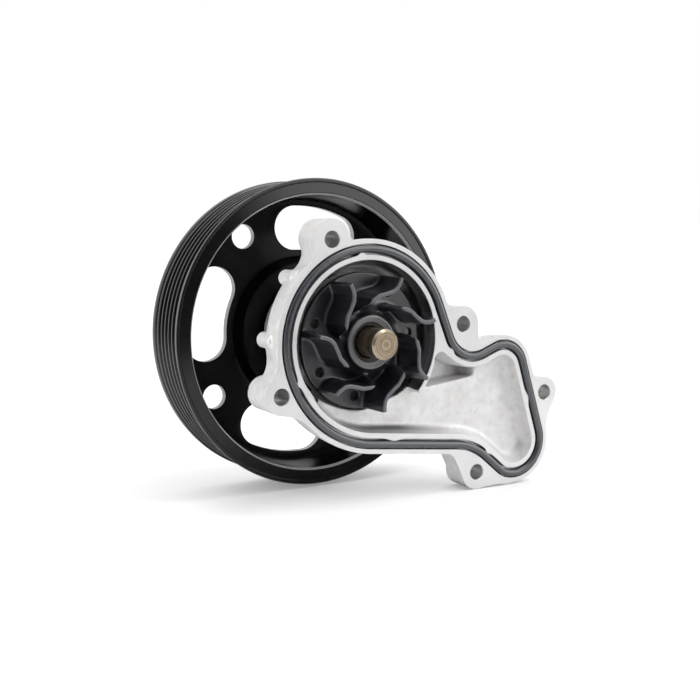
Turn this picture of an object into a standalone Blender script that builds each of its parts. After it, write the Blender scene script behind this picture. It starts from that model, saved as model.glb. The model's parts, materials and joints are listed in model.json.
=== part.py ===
"""Automotive coolant pump: cast housing with a sealed outlet chamber, open impeller, shaft bearing, pulley.

Frame: the shaft axis is Y, the origin is the centre of the shaft's nose face, which faces -Y, the pulley is
at +Y, and +Z is up. Sizes below are in millimetres, and their y values are measured from the mounting face,
which stands NOSE_PROUD behind the origin; add_object turns them into metres in the frame.
"""

import math

import bmesh
import bpy

MM = 0.001
GAP = 0.3                      # clearance between pieces that touch on the real pump
NOSE_PROUD = 12.88             # how far the shaft's nose stands in front of the mounting face

# ---- driving dimensions, mm -------------------------------------------------------------------------
# The seal track is a belt around circles: (x, z, radius, turn), turn +1 keeps the circle inside the belt.
SEAL_TRACK = (
    (0.0, 0.0, 36.4, 1),
    (6.2, 1.4, 42.7, 1),
    (41.3, -73.5, 28.0, -1),
    (73.2, -52.0, 9.0, 1),
    (75.0, -47.7, 13.55, 1),
    (67.8, -16.3, 11.0, 1),
    (52.5, 4.6, 14.0, -1),
)
ARC_STEP = math.radians(13.0)

FLANGE_EDGE = 4.2              # offsets from the seal track
OPENING_EDGE = -4.1
FLOOR_EDGE = -7.6
GROOVE_HALF = 2.1
GROOVE_DEPTH = 3.1
GASKET_HALF = 1.75
GASKET_PROUD = 1.0

FLANGE_DEPTH = 12.0            # the volute casting from the mounting face to its rear edge
CHAMBER_FLOOR = 6.0
POCKET_FLOOR = 12.0
POCKET_MOUTH_R = 32.4
POCKET_FLOOR_R = 28.6
WELL_STEP = 0.4                # the straight part of the pocket is this much smaller and shallower
CUTWATER_R = 33.9
CUTWATER_START = math.radians(-40.0)
CUTWATER_END = math.radians(205.0)

HOLE_R = 3.27                  # clearance holes for M6 bolts
# Each lug: hole x, z, boss radius, boss depth, and the circles that tie the boss to the casting.
LUGS = (
    ((-16.56, 40.47), 7.9, 13.3, ((-15.5, 28.0, 9.5),)),
    ((-38.96, -19.02), 6.9, 15.8, ((-28.0, -12.0, 12.0), (-26.0, -24.0, 9.0))),
    ((46.65, 4.68), 7.3, 12.6, ((30.0, 2.0, 10.0), (48.2, -7.0, 7.0))),
    ((91.02, -27.43), 6.4, 12.6, ((80.0, -28.0, 7.3), (82.0, -42.0, 8.5))),
    ((54.49, -58.79), 7.1, 13.0, ((50.0, -48.0, 8.0), (70.0, -57.0, 8.3))),
)
# The blind recess beside the cutwater, and the round dimple in it: belts round corner circles.
RECESS_CORNERS = ((33.2, -19.6, 1.6, 1), (54.6, -16.6, 1.9, 1), (36.6, -7.0, 1.4, 1))
RECESS_FLOOR = 14.5
RECESS_WALL = 3.0
DIMPLE = (42.3, -11.9, 3.3)
DIMPLE_START = 4.4
DIMPLE_FLOOR = 16.0
EJECTOR_POSTS = ((-28.4, 25.4), (-38.2, 1.6))
EJECTOR_POST_R = 3.2
EJECTOR_POST_END = 16.5

SNOUT_R = 21.0
SNOUT_END = 49.5
BEARING_SEAT_R = 15.0 + GAP
BEARING_START = 25.0
SEAL_BORE_R = 16.0
SEAL_BORE_END = 22.5
WEEP_R = 2.0
WEEP_Y = 23.7
RIB_HALF = 1.8

SHAFT_TIP = -NOSE_PROUD
SHAFT_NOSE_R = 6.05
SHAFT_R = 7.95
SHAFT_STEP = 22.8
SHAFT_END = 61.5

DISC_R = 27.3
DISC_FRONT = 5.5
DISC_BACK = 8.0
HUB_R = 10.5
HUB_FRONT = -2.5
BLADES = 7
BLADE_FRONT = -9.2
BLADE_HALF = 0.95
FIRST_BLADE = math.radians(-34.3)
# One blade's centre line as radius and turn from its tip, tip first.
BLADE_LINE = ((27.2, 0.0), (25.0, 0.2), (22.8, 1.5), (21.0, 5.0), (19.6, 12.5), (18.7, 23.0),
              (17.3, 33.0), (15.0, 41.0), (12.6, 45.0))
BALANCE_HOLE = (22.35, math.radians(-11.7), 1.9)

BALLS = 7
BALL_R = 2.7
BALL_PITCH_R = 10.7
RACE_R = BALL_R + GAP
ROWS = {"front": 30.8, "rear": 42.0}
BEARING_R = 15.0
BEARING_BORE_R = 12.6
BEARING_END = 49.0

RIM_FRONT = 39.3
RIM_BACK = 67.0
RIM_R = 65.0
RIM_BACK_R = 64.0
RIM_INNER_R = 56.6
GROOVES = 6
GROOVE_PITCH = 3.56
GROOVE_START = 41.2
GROOVE_CREST_R = 63.2
GROOVE_ROOT_R = 60.4
WEB_FRONT = 57.0
WEB_THICK = 3.0
DISH_R = 33.0
DISH_LIFT = 5.5
HUB_BORE_R = SHAFT_R + GAP
HUB_BOSS_R = 13.0
HUB_FLANGE_R = 23.0
HUB_FLANGE_THICK = 3.2
HUB_START = 50.6
WINDOW_R = 44.1
WINDOW_HALF = 9.45
WINDOW_SWEEP = math.radians(13.9)
WINDOW_FIRST = math.radians(78.5)
SPOKE_HOLE_R = 5.17
SPOKE_HOLE_PITCH_R = 48.4
SPOKE_HOLE_FIRST = math.radians(33.0)

ROUND = 36                     # facets of a turned piece, unless it says otherwise
RIM_FACETS = 50
DISC_FACETS = 42
RING_FACETS = 24               # facets of the small rings inside


# ---- scene helpers ----------------------------------------------------------------------------------
def clear_scene():
    for obj in list(bpy.data.objects):
        bpy.data.objects.remove(obj, do_unlink=True)


def material(name, colour, metallic, roughness):
    mat = bpy.data.materials.new(name)
    mat.use_nodes = True
    shader = mat.node_tree.nodes["Principled BSDF"]
    shader.inputs["Base Color"].default_value = (*colour, 1.0)
    shader.inputs["Metallic"].default_value = metallic
    shader.inputs["Roughness"].default_value = roughness
    return mat


def add_object(name, verts, faces, mat=None, sharp=35.0, datum=NOSE_PROUD):
    """A closed mesh from millimetre points, faces turned outwards, smooth except at sharp edges.

    datum moves the points along Y from the mounting face into the frame; a piece placed by its own
    location has points about its own centre and a datum of 0.
    """
    mesh = bpy.data.meshes.new(name)
    mesh.from_pydata([(x * MM, (y + datum) * MM, z * MM) for x, y, z in verts], [], faces)
    work = bmesh.new()
    work.from_mesh(mesh)
    bmesh.ops.recalc_face_normals(work, faces=work.faces)
    work.to_mesh(mesh)
    work.free()
    mesh.shade_smooth()
    mesh.set_sharp_from_angle(angle=math.radians(sharp))
    obj = bpy.data.objects.new(name, mesh)
    bpy.context.collection.objects.link(obj)
    if mat:
        mesh.materials.append(mat)
    return obj


def combine(obj, other, operation):
    """Union, difference or intersection with a helper object, which stays as a hidden guide."""
    boolean = obj.modifiers.new(operation.title(), "BOOLEAN")
    boolean.object = other
    boolean.operation = operation
    boolean.solver = "EXACT"
    other.hide_render = True
    other.display_type = "WIRE"


def in_frame(x, y, z):
    """A millimetre point whose y is measured from the mounting face, in the frame's metres."""
    return x * MM, (y + NOSE_PROUD) * MM, z * MM


def axis_empty(name, y):
    empty = bpy.data.objects.new(name, None)
    empty.location = in_frame(0.0, y, 0.0)
    bpy.context.collection.objects.link(empty)
    return empty


def hang(obj, empty):
    """Parent a piece to the empty on its joint's axis without moving it."""
    obj.parent = empty
    obj.location = obj.location - empty.location


# ---- shapes -----------------------------------------------------------------------------------------
def polar(radius, angle):
    return radius * math.cos(angle), radius * math.sin(angle)


def belt(circles, offset=0.0, step=ARC_STEP):
    """Points of a closed belt around circles, counter-clockwise, moved outwards by an offset."""
    count = len(circles)
    headings = []
    for i, (x0, z0, r0, turn0) in enumerate(circles):
        x1, z1, r1, turn1 = circles[(i + 1) % count]
        span = math.hypot(x1 - x0, z1 - z0)
        lean = math.asin((turn1 * r1 - turn0 * r0) / span)
        headings.append(math.atan2(z1 - z0, x1 - x0) - lean)
    points = []
    for i, (x, z, radius, turn) in enumerate(circles):
        start = headings[i - 1]
        sweep = (turn * (headings[i] - start)) % math.tau
        pieces = max(1, math.ceil(sweep / step))
        reach = turn * radius + offset
        for k in range(pieces + 1):
            heading = start + turn * sweep * k / pieces
            points.append((x + reach * math.sin(heading), z - reach * math.cos(heading)))
    return points


def loft(rings):
    """Vertices and faces of a solid through closed rings of (outline, y), capped at both ends."""
    count = len(rings[0][0])
    verts = [(x, y, z) for outline, y in rings for x, z in outline]
    faces = []
    for level in range(len(rings) - 1):
        low = level * count
        for i in range(count):
            j = (i + 1) % count
            faces.append((low + i, low + j, low + count + j, low + count + i))
    faces.append(tuple(range(count)))
    faces.append(tuple(range(len(verts) - count, len(verts))))
    return verts, faces


def prism(name, outline, start, end, mat=None):
    return add_object(name, *loft(((outline, start), (outline, end))), mat)


def prisms(name, outlines, start, end):
    """Several prisms in one helper mesh."""
    verts = []
    faces = []
    for outline in outlines:
        more_verts, more_faces = loft(((outline, start), (outline, end)))
        faces += [tuple(i + len(verts) for i in face) for face in more_faces]
        verts += more_verts
    return add_object(name, verts, faces)


def swept(name, section, mat=None):
    """A ring that follows the seal track; the section is a closed list of (offset, y)."""
    columns = [[(x, y, z) for x, z in belt(SEAL_TRACK, offset)] for offset, y in section]
    count = len(columns[0])
    verts = [point for column in columns for point in column]
    faces = []
    for a in range(len(columns)):
        b = (a + 1) % len(columns)
        for i in range(count):
            j = (i + 1) % count
            faces.append((a * count + i, a * count + j, b * count + j, b * count + i))
    return add_object(name, verts, faces, mat)


def turned(name, profile, mat=None, facets=ROUND, start=0.0, sweep=math.tau, datum=NOSE_PROUD):
    """A solid of revolution about Y from a closed profile of (radius, y)."""
    closed = sweep >= math.tau
    stations = facets if closed else facets + 1
    verts = []
    index = []
    for radius, y in profile:
        if radius == 0.0:
            index.append([len(verts)] * stations)
            verts.append((0.0, y, 0.0))
            continue
        index.append(list(range(len(verts), len(verts) + stations)))
        for k in range(stations):
            x, z = polar(radius, start + sweep * k / facets)
            verts.append((x, y, z))
    faces = []
    for a in range(len(profile)):
        b = (a + 1) % len(profile)
        for k in range(facets):
            m = (k + 1) % stations
            ring = (index[a][k], index[a][m], index[b][m], index[b][k])
            corners = tuple(dict.fromkeys(ring))
            if len(corners) > 2:
                faces.append(corners)
    if not closed:
        faces.append(tuple(column[0] for column in index))
        faces.append(tuple(column[-1] for column in index))
    return add_object(name, verts, faces, mat, datum=datum)


def circle(x, z, radius, facets=18):
    points = []
    for k in range(facets):
        dx, dz = polar(radius, math.tau * k / facets)
        points.append((x + dx, z + dz))
    return points


def arc_points(centre_r, centre_y, radius, start, end, pieces):
    """Profile points of an arc; angles in degrees from the outward direction towards +Y."""
    points = []
    for k in range(pieces + 1):
        angle = math.radians(start + (end - start) * k / pieces)
        points.append((centre_r + radius * math.cos(angle), centre_y + radius * math.sin(angle)))
    return points


# ---- housing ----------------------------------------------------------------------------------------
def housing_lug(number, hole, boss_r, depth, feet):
    circles = [(hole[0], hole[1], boss_r, 1)] + [(*foot, 1) for foot in feet]
    middle_x = sum(c[0] for c in circles) / len(circles)
    middle_z = sum(c[1] for c in circles) / len(circles)
    circles.sort(key=lambda c: math.atan2(c[1] - middle_z, c[0] - middle_x))
    tie = belt(circles, 0.0, math.radians(18.0))
    lug = prism(f"guide_lug_{number}", tie, 0.0, min(depth, FLANGE_DEPTH - 1.0))
    boss = prism(f"guide_boss_{number}", circle(*hole, boss_r, 24), 0.0, depth)
    return lug, boss


def housing_snout():
    """The bearing snout and the cone that carries it, with ribs from the cone to the snout."""
    profile = ((0.0, 10.0), (35.0, 10.0), (35.0, 12.5), (26.0, 21.0), (SNOUT_R + 0.6, 24.0),
               (SNOUT_R, SNOUT_END), (0.0, SNOUT_END))
    snout = turned("guide_snout", profile)
    for number in range(5):
        angle = math.radians(36.0 + 72.0 * number)
        rib = rib_plate(f"guide_rib_{number}", angle)
        combine(snout, rib, "UNION")
    return snout


def rib_plate(name, angle):
    """A triangular stiffening rib that stands radially on the cone and the snout."""
    side = ((18.0, 14.0), (34.0, 11.0), (34.0, 13.5), (SNOUT_R + 0.5, 40.0), (18.0, 40.0))
    outward = polar(1.0, angle)
    across = (-outward[1] * RIB_HALF, outward[0] * RIB_HALF)
    verts = []
    for sign in (-1, 1):
        for radius, y in side:
            x = radius * outward[0] + sign * across[0]
            z = radius * outward[1] + sign * across[1]
            verts.append((x, y, z))
    count = len(side)
    faces = [tuple(range(count)), tuple(range(count, 2 * count))]
    faces += [(i, (i + 1) % count, count + (i + 1) % count, count + i) for i in range(count)]
    return add_object(name, verts, faces)


def chamber_cutter():
    """The outlet chamber and the spiral channel under the impeller, without the cutwater sector."""
    rings = ((belt(SEAL_TRACK, OPENING_EDGE), -1.0),
             (belt(SEAL_TRACK, OPENING_EDGE - 0.3), 1.6),
             (belt(SEAL_TRACK, FLOOR_EDGE + 1.2), CHAMBER_FLOOR - 1.0),
             (belt(SEAL_TRACK, FLOOR_EDGE), CHAMBER_FLOOR))
    chamber = add_object("cutter_chamber", *loft(rings))
    sweep = CUTWATER_END - CUTWATER_START
    sector = ((0.0, -2.0), (CUTWATER_R, -2.0), (CUTWATER_R, 8.0), (0.0, 8.0))
    keep = turned("guide_cutwater", sector, facets=28, start=CUTWATER_START, sweep=sweep)
    combine(chamber, keep, "DIFFERENCE")
    return chamber


def pocket_cutters():
    """The impeller's round pocket: conical on the cutwater side, straight below."""
    slack = math.radians(2.0)
    cone = ((0.0, -1.0), (POCKET_MOUTH_R + 0.3, -1.0), (POCKET_FLOOR_R, POCKET_FLOOR), (0.0, POCKET_FLOOR))
    sweep = CUTWATER_END - CUTWATER_START + 2 * slack
    upper = turned("cutter_pocket", cone, facets=28, start=CUTWATER_START - slack, sweep=sweep)
    well_r = POCKET_FLOOR_R - WELL_STEP
    well_floor = POCKET_FLOOR - WELL_STEP
    well = ((0.0, -1.5), (well_r, -1.5), (well_r, well_floor), (0.0, well_floor))
    return upper, turned("cutter_pocket_well", well)


def bore_cutter():
    """Seal bore, shaft passage and bearing seat, stepped along the axis."""
    passage = 13.0
    profile = ((0.0, POCKET_FLOOR - 2.0), (SEAL_BORE_R, POCKET_FLOOR - 2.0), (SEAL_BORE_R, SEAL_BORE_END),
               (passage, SEAL_BORE_END), (passage, BEARING_START), (BEARING_SEAT_R, BEARING_START),
               (BEARING_SEAT_R, SNOUT_END + 1.0), (0.0, SNOUT_END + 1.0))
    return turned("cutter_bore", profile)


def weep_cutter():
    """A drain hole that runs down from the space between the seal and the bearing."""
    sides = 14
    verts = []
    for z in (-9.0, -40.0):
        verts += [(x, WEEP_Y + y, z) for x, y in circle(0.0, 0.0, WEEP_R, sides)]
    faces = [tuple(range(sides)), tuple(range(sides, 2 * sides))]
    faces += [(i, (i + 1) % sides, sides + (i + 1) % sides, sides + i) for i in range(sides)]
    return add_object("cutter_weep", verts, faces)


def make_housing(mat):
    outline = belt(SEAL_TRACK, FLANGE_EDGE)
    tucked = belt(SEAL_TRACK, FLANGE_EDGE - 0.9)
    chamfered = belt(SEAL_TRACK, FLANGE_EDGE - 0.5)
    rings = ((chamfered, 0.0), (outline, 0.5), (outline, 3.0), (tucked, FLANGE_DEPTH))
    body = add_object("housing", *loft(rings), mat)
    combine(body, housing_snout(), "UNION")
    for number, (hole, boss_r, depth, feet) in enumerate(LUGS):
        for piece in housing_lug(number, hole, boss_r, depth, feet):
            combine(body, piece, "UNION")
    pad = belt(RECESS_CORNERS, RECESS_WALL)
    combine(body, prism("guide_recess_pad", pad, 10.0, RECESS_FLOOR + RECESS_WALL), "UNION")
    for number, post in enumerate(EJECTOR_POSTS):
        guide = prism(f"guide_post_{number}", circle(*post, EJECTOR_POST_R, 16), 9.0, EJECTOR_POST_END)
        combine(body, guide, "UNION")
    combine(body, chamber_cutter(), "DIFFERENCE")
    for cutter in pocket_cutters():
        combine(body, cutter, "DIFFERENCE")
    combine(body, bore_cutter(), "DIFFERENCE")
    recess = add_object("cutter_recess", *loft(((belt(RECESS_CORNERS, 0.5), 1.2),
                                                (belt(RECESS_CORNERS, -0.3), RECESS_FLOOR))))
    inside = prism("guide_recess_limit", belt(SEAL_TRACK, OPENING_EDGE - 0.6), 0.5, RECESS_FLOOR + 1.0)
    combine(recess, inside, "INTERSECT")
    combine(body, recess, "DIFFERENCE")
    combine(body, prism("cutter_dimple", circle(*DIMPLE), DIMPLE_START, DIMPLE_FLOOR), "DIFFERENCE")
    corners = ((-GROOVE_HALF, -1.0), (GROOVE_HALF, -1.0), (GROOVE_HALF, GROOVE_DEPTH),
               (-GROOVE_HALF, GROOVE_DEPTH))
    combine(body, swept("cutter_groove", corners), "DIFFERENCE")
    holes = [circle(*lug[0], HOLE_R) for lug in LUGS]
    combine(body, prisms("cutter_bolt_holes", holes, -1.0, 30.0), "DIFFERENCE")
    combine(body, weep_cutter(), "DIFFERENCE")
    return body


def make_gasket(mat):
    half = GASKET_HALF
    low = GROOVE_DEPTH - GAP
    section = ((-half, low), (-half, 0.2), (-half * 0.62, -GASKET_PROUD * 0.75), (0.0, -GASKET_PROUD),
               (half * 0.62, -GASKET_PROUD * 0.75), (half, 0.2), (half, low))
    return swept("gasket", section, mat)


# ---- rotor ------------------------------------------------------------------------------------------
def make_shaft(mat):
    """The stepped shaft, which is also the bearing's inner race: two shallow ball grooves are cut in it."""
    profile = [(0.0, SHAFT_TIP), (SHAFT_NOSE_R - 1.0, SHAFT_TIP), (SHAFT_NOSE_R, SHAFT_TIP + 1.0)]
    profile += [(SHAFT_NOSE_R, SHAFT_STEP), (SHAFT_R, SHAFT_STEP + 0.6)]
    half_width = math.sqrt(RACE_R ** 2 - (BALL_PITCH_R - SHAFT_R) ** 2)
    for y in ROWS.values():
        profile += [(SHAFT_R, y - half_width), (BALL_PITCH_R - RACE_R, y), (SHAFT_R, y + half_width)]
    profile += [(SHAFT_R, SHAFT_END - 0.8), (SHAFT_R - 0.8, SHAFT_END), (0.0, SHAFT_END)]
    return turned("shaft", profile, mat)


def blade_outline(phase):
    """One S-shaped blade in plan: its centre line, widened to both sides."""
    line = [polar(radius, phase + math.radians(turn)) for radius, turn in BLADE_LINE]
    left = []
    right = []
    last = len(line) - 1
    for i, (x, z) in enumerate(line):
        ahead = line[min(i + 1, last)]
        behind = line[max(i - 1, 0)]
        heading = math.atan2(ahead[1] - behind[1], ahead[0] - behind[0])
        dx, dz = polar(BLADE_HALF, heading + math.pi / 2)
        left.append((x + dx, z + dz))
        right.append((x - dx, z - dz))
    return left + right[::-1]


def make_impeller(mat):
    """Hub and disc turned in one, seven blades with their inner ends cut back to a cone, balance holes."""
    profile = ((SHAFT_NOSE_R + GAP, HUB_FRONT + 0.6), (SHAFT_NOSE_R + 0.9, HUB_FRONT),
               (HUB_R - 0.8, HUB_FRONT), (HUB_R, HUB_FRONT + 0.8), (HUB_R + 0.2, 3.0),
               (HUB_R + 2.0, DISC_FRONT), (DISC_R - 0.3, DISC_FRONT), (DISC_R, DISC_FRONT + 0.5),
               (DISC_R, DISC_BACK), (SHAFT_NOSE_R + GAP, DISC_BACK))
    disc = turned("impeller", profile, mat, DISC_FACETS)
    phases = [FIRST_BLADE + math.tau * k / BLADES for k in range(BLADES)]
    outlines = [blade_outline(phase) for phase in phases]
    blades = prisms("guide_blades", outlines, BLADE_FRONT, DISC_FRONT + 1.0)
    cone = ((0.0, BLADE_FRONT - 1.0), (18.0, BLADE_FRONT - 1.0), (16.5, BLADE_FRONT + 0.7),
            (12.6, DISC_FRONT - 3.0), (12.0, DISC_FRONT), (0.0, DISC_FRONT))
    combine(blades, turned("cutter_eye", cone), "DIFFERENCE")
    combine(disc, blades, "UNION")
    radius, turn, hole_r = BALANCE_HOLE
    holes = [circle(*polar(radius, phase + turn), hole_r, 10) for phase in phases]
    combine(disc, prisms("cutter_balance_holes", holes, DISC_FRONT - 1.0, DISC_BACK + 1.0), "DIFFERENCE")
    return disc


def rim_profile():
    """Outline of the pulley in (radius, y), starting at the front flange and running backwards."""
    web_back = WEB_FRONT + WEB_THICK
    dish_front = WEB_FRONT - DISH_LIFT
    points = [(RIM_INNER_R + 1.2, RIM_FRONT + 2.4), (RIM_INNER_R + 2.6, RIM_FRONT + 1.0),
              (RIM_R - 1.2, RIM_FRONT), (RIM_R, RIM_FRONT + 0.5), (RIM_R, RIM_FRONT + 1.3)]
    for k in range(GROOVES):
        centre = GROOVE_START + GROOVE_PITCH * (k + 0.5)
        points += [(GROOVE_CREST_R, centre - GROOVE_PITCH / 2), (GROOVE_ROOT_R, centre)]
    points += [(GROOVE_CREST_R, GROOVE_START + GROOVE_PITCH * GROOVES), (RIM_BACK_R, RIM_BACK - 3.6),
               (RIM_BACK_R, RIM_BACK - 0.6), (RIM_BACK_R - 0.8, RIM_BACK), (RIM_INNER_R + 1.4, RIM_BACK),
               (RIM_INNER_R, RIM_BACK - 1.5), (RIM_INNER_R, web_back + 1.5), (RIM_INNER_R - 1.5, web_back),
               (DISH_R + 1.0, web_back), (DISH_R - 3.0, dish_front + WEB_THICK),
               (HUB_BOSS_R + GAP, dish_front + WEB_THICK), (HUB_BOSS_R + GAP, dish_front),
               (DISH_R - 4.5, dish_front), (DISH_R, WEB_FRONT), (RIM_INNER_R - 2.0, WEB_FRONT),
               (RIM_INNER_R - 0.2, WEB_FRONT - 1.8)]
    return points


def window_outline(angle):
    """A bean-shaped window in the web: two arcs about the shaft axis joined by round ends."""
    first = polar(WINDOW_R, angle - WINDOW_SWEEP)
    last = polar(WINDOW_R, angle + WINDOW_SWEEP)
    slack = 0.03
    inner = WINDOW_R - WINDOW_HALF - slack
    outer = WINDOW_R + WINDOW_HALF - slack
    circles = ((*first, WINDOW_HALF, 1), (0.0, 0.0, outer, 1), (*last, WINDOW_HALF, 1), (0.0, 0.0, inner, -1))
    return belt(circles, 0.0, math.radians(16.0))


def make_pulley(mat):
    pulley = turned("pulley", rim_profile(), mat, RIM_FACETS)
    quarter = math.tau / 4
    outlines = [window_outline(WINDOW_FIRST + quarter * k) for k in range(4)]
    for k in range(4):
        spot = polar(SPOKE_HOLE_PITCH_R, SPOKE_HOLE_FIRST + quarter * k)
        outlines.append(circle(*spot, SPOKE_HOLE_R, 18))
    windows = prisms("cutter_web_windows", outlines, WEB_FRONT - 3.0, WEB_FRONT + WEB_THICK + 3.0)
    combine(pulley, windows, "DIFFERENCE")
    return pulley


def make_pulley_hub(mat):
    """The pressed hub: a boss on the shaft and a flange behind the pulley's dished centre."""
    seat = WEB_FRONT - DISH_LIFT + WEB_THICK + GAP
    back = seat + HUB_FLANGE_THICK
    end = SHAFT_END - 0.3
    profile = ((HUB_BORE_R, HUB_START), (HUB_BOSS_R - 0.7, HUB_START), (HUB_BOSS_R, HUB_START + 0.7),
               (HUB_BOSS_R, seat), (HUB_FLANGE_R, seat), (HUB_FLANGE_R, back - 0.6),
               (HUB_FLANGE_R - 0.6, back), (HUB_BOSS_R + 2.0, back), (HUB_BOSS_R + 1.0, end),
               (HUB_BORE_R, end))
    return turned("pulley_hub", profile, mat)


# ---- shaft bearing ----------------------------------------------------------------------------------
def make_outer_ring(mat):
    half_width = math.sqrt(RACE_R ** 2 - (BEARING_BORE_R - BALL_PITCH_R) ** 2)
    start = BEARING_START + GAP
    edge = math.degrees(math.asin(half_width / RACE_R))
    profile = [(BEARING_R - 0.6, start), (BEARING_R, start + 0.6), (BEARING_R, BEARING_END - 0.6),
               (BEARING_R - 0.6, BEARING_END), (BEARING_BORE_R, BEARING_END)]
    for y in reversed(ROWS.values()):
        profile += arc_points(BALL_PITCH_R, y, RACE_R, edge, -edge, 4)
    profile += [(BEARING_BORE_R, start)]
    return turned("bearing_outer_ring", profile, mat, RING_FACETS)


def make_balls(row, y, mat, empty):
    """Balls of one row, each its own piece on the row's pitch circle."""
    rings = 6
    sides = 8
    verts = [(0.0, 0.0, BALL_R)]
    for level in range(1, rings):
        tilt = math.pi * level / rings
        for k in range(sides):
            x, y_side = polar(BALL_R * math.sin(tilt), math.tau * k / sides)
            verts.append((x, y_side, BALL_R * math.cos(tilt)))
    verts.append((0.0, 0.0, -BALL_R))
    last = len(verts) - 1
    faces = []
    for k in range(sides):
        m = (k + 1) % sides
        faces.append((0, 1 + k, 1 + m))
        faces.append((last, last - sides + m, last - sides + k))
        for level in range(rings - 2):
            low = 1 + level * sides
            faces.append((low + k, low + sides + k, low + sides + m, low + m))
    for number in range(BALLS):
        ball = add_object(f"{row}_ball_{number + 1}", verts, faces, mat, 60.0, 0.0)
        x, z = polar(BALL_PITCH_R, math.tau * number / BALLS)
        ball.location = in_frame(x, y, z)
        hang(ball, empty)


def make_cage(row, y, mat, empty):
    """A crown cage: a ring beside the balls with one round pocket for each ball."""
    near = y + 0.4
    far = y + 4.2
    inner = BALL_PITCH_R - 1.2
    outer = BALL_PITCH_R + 1.2
    profile = ((inner, near), (outer, near), (outer, far), (inner, far))
    ring = turned(f"{row}_ball_cage", profile, mat, RING_FACETS)
    for number in range(BALLS):
        x, z = polar(BALL_PITCH_R, math.tau * number / BALLS)
        sphere = ball_profile(BALL_R + GAP)
        pocket = turned(f"cutter_{row}_pocket_{number}", sphere, facets=8, datum=0.0)
        pocket.location = in_frame(x, y, z)
        combine(ring, pocket, "DIFFERENCE")
    hang(ring, empty)


def ball_profile(radius):
    points = [(0.0, -radius)]
    points += arc_points(0.0, 0.0, radius, -54.0, 54.0, 3)
    return points + [(0.0, radius)]


def make_bearing_seal(name, y, mat):
    """A thin lip seal between the outer ring and the shaft."""
    inner = SHAFT_R + GAP
    outer = BEARING_BORE_R - GAP
    profile = ((inner, y + 0.3), (inner + 0.9, y), (outer, y), (outer, y + 1.4), (inner + 0.9, y + 1.4),
               (inner, y + 0.9))
    return turned(name, profile, mat, RING_FACETS)


# ---- face seal --------------------------------------------------------------------------------------
def make_seal_case(mat):
    """A pressed cup that lines the seal bore, with a lip over the pocket floor."""
    wall = SEAL_BORE_R - GAP
    lip = POCKET_FLOOR - WELL_STEP - GAP
    profile = ((wall - 0.8, lip - 0.8), (17.6, lip - 0.8), (17.6, lip), (wall, lip), (wall, 21.8),
               (9.2, 21.8), (9.2, 21.0), (wall - 0.8, 21.0))
    return turned("seal_case", profile, mat)


def make_bellows(mat):
    """The rubber bellows that seals the carbon ring to the case, with two folds."""
    profile = ((7.0, 14.4), (10.6, 14.4), (10.6, 15.2), (8.6, 15.7), (8.6, 16.3), (9.8, 16.9), (9.8, 17.5),
               (8.6, 18.1), (8.6, 19.9), (10.6, 19.9), (10.6, 20.7), (7.0, 20.7))
    return turned("seal_bellows", profile, mat, RING_FACETS)


def make_spring(mat):
    """The coil spring around the bellows; each station is a round section on the helix."""
    coil_r = 12.7
    wire_r = 0.55
    turns = 3.25
    start_y = 14.9
    end_y = 20.1
    sides = 5
    stations = round(turns * 14)
    pitch = (end_y - start_y) / turns
    climb = math.atan2(pitch, math.tau * coil_r)
    verts = []
    for k in range(stations + 1):
        angle = math.tau * turns * k / stations
        centre_y = start_y + (end_y - start_y) * k / stations
        for s in range(sides):
            out, up = polar(wire_r, math.tau * s / sides)
            x, z = polar(coil_r + out, angle)
            slip_x, slip_z = polar(up * math.sin(climb), angle - math.pi / 2)
            verts.append((x + slip_x, centre_y + up * math.cos(climb), z + slip_z))
    faces = []
    for k in range(stations):
        for s in range(sides):
            t = (s + 1) % sides
            faces.append((k * sides + s, k * sides + t, (k + 1) * sides + t, (k + 1) * sides + s))
    faces.append(tuple(range(sides)))
    faces.append(tuple(range(stations * sides, (stations + 1) * sides)))
    return add_object("seal_spring", verts, faces, mat)


def make_seal_rings(carbon_mat, ceramic_mat, rubber_mat):
    """Stationary carbon ring, rotating ceramic ring and the rubber boot that drives it."""
    face = ((8.0, 11.4), (11.2, 11.4), (11.2, 12.2), (13.6, 12.2), (13.6, 14.1), (8.0, 14.1))
    carbon = turned("seal_carbon_ring", face, carbon_mat, RING_FACETS)
    plate = ((7.6, 9.4), (12.2, 9.4), (12.2, 11.1), (7.6, 11.1))
    ceramic = turned("seal_ceramic_ring", plate, ceramic_mat, RING_FACETS)
    bore = SHAFT_NOSE_R + GAP
    cup = ((bore, 8.3), (13.4, 8.3), (13.4, 11.0), (12.5, 11.0), (12.5, 9.1), (7.3, 9.1), (7.3, 11.0),
           (bore, 11.0))
    boot = turned("seal_ring_boot", cup, rubber_mat, RING_FACETS)
    return carbon, ceramic, boot


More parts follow.
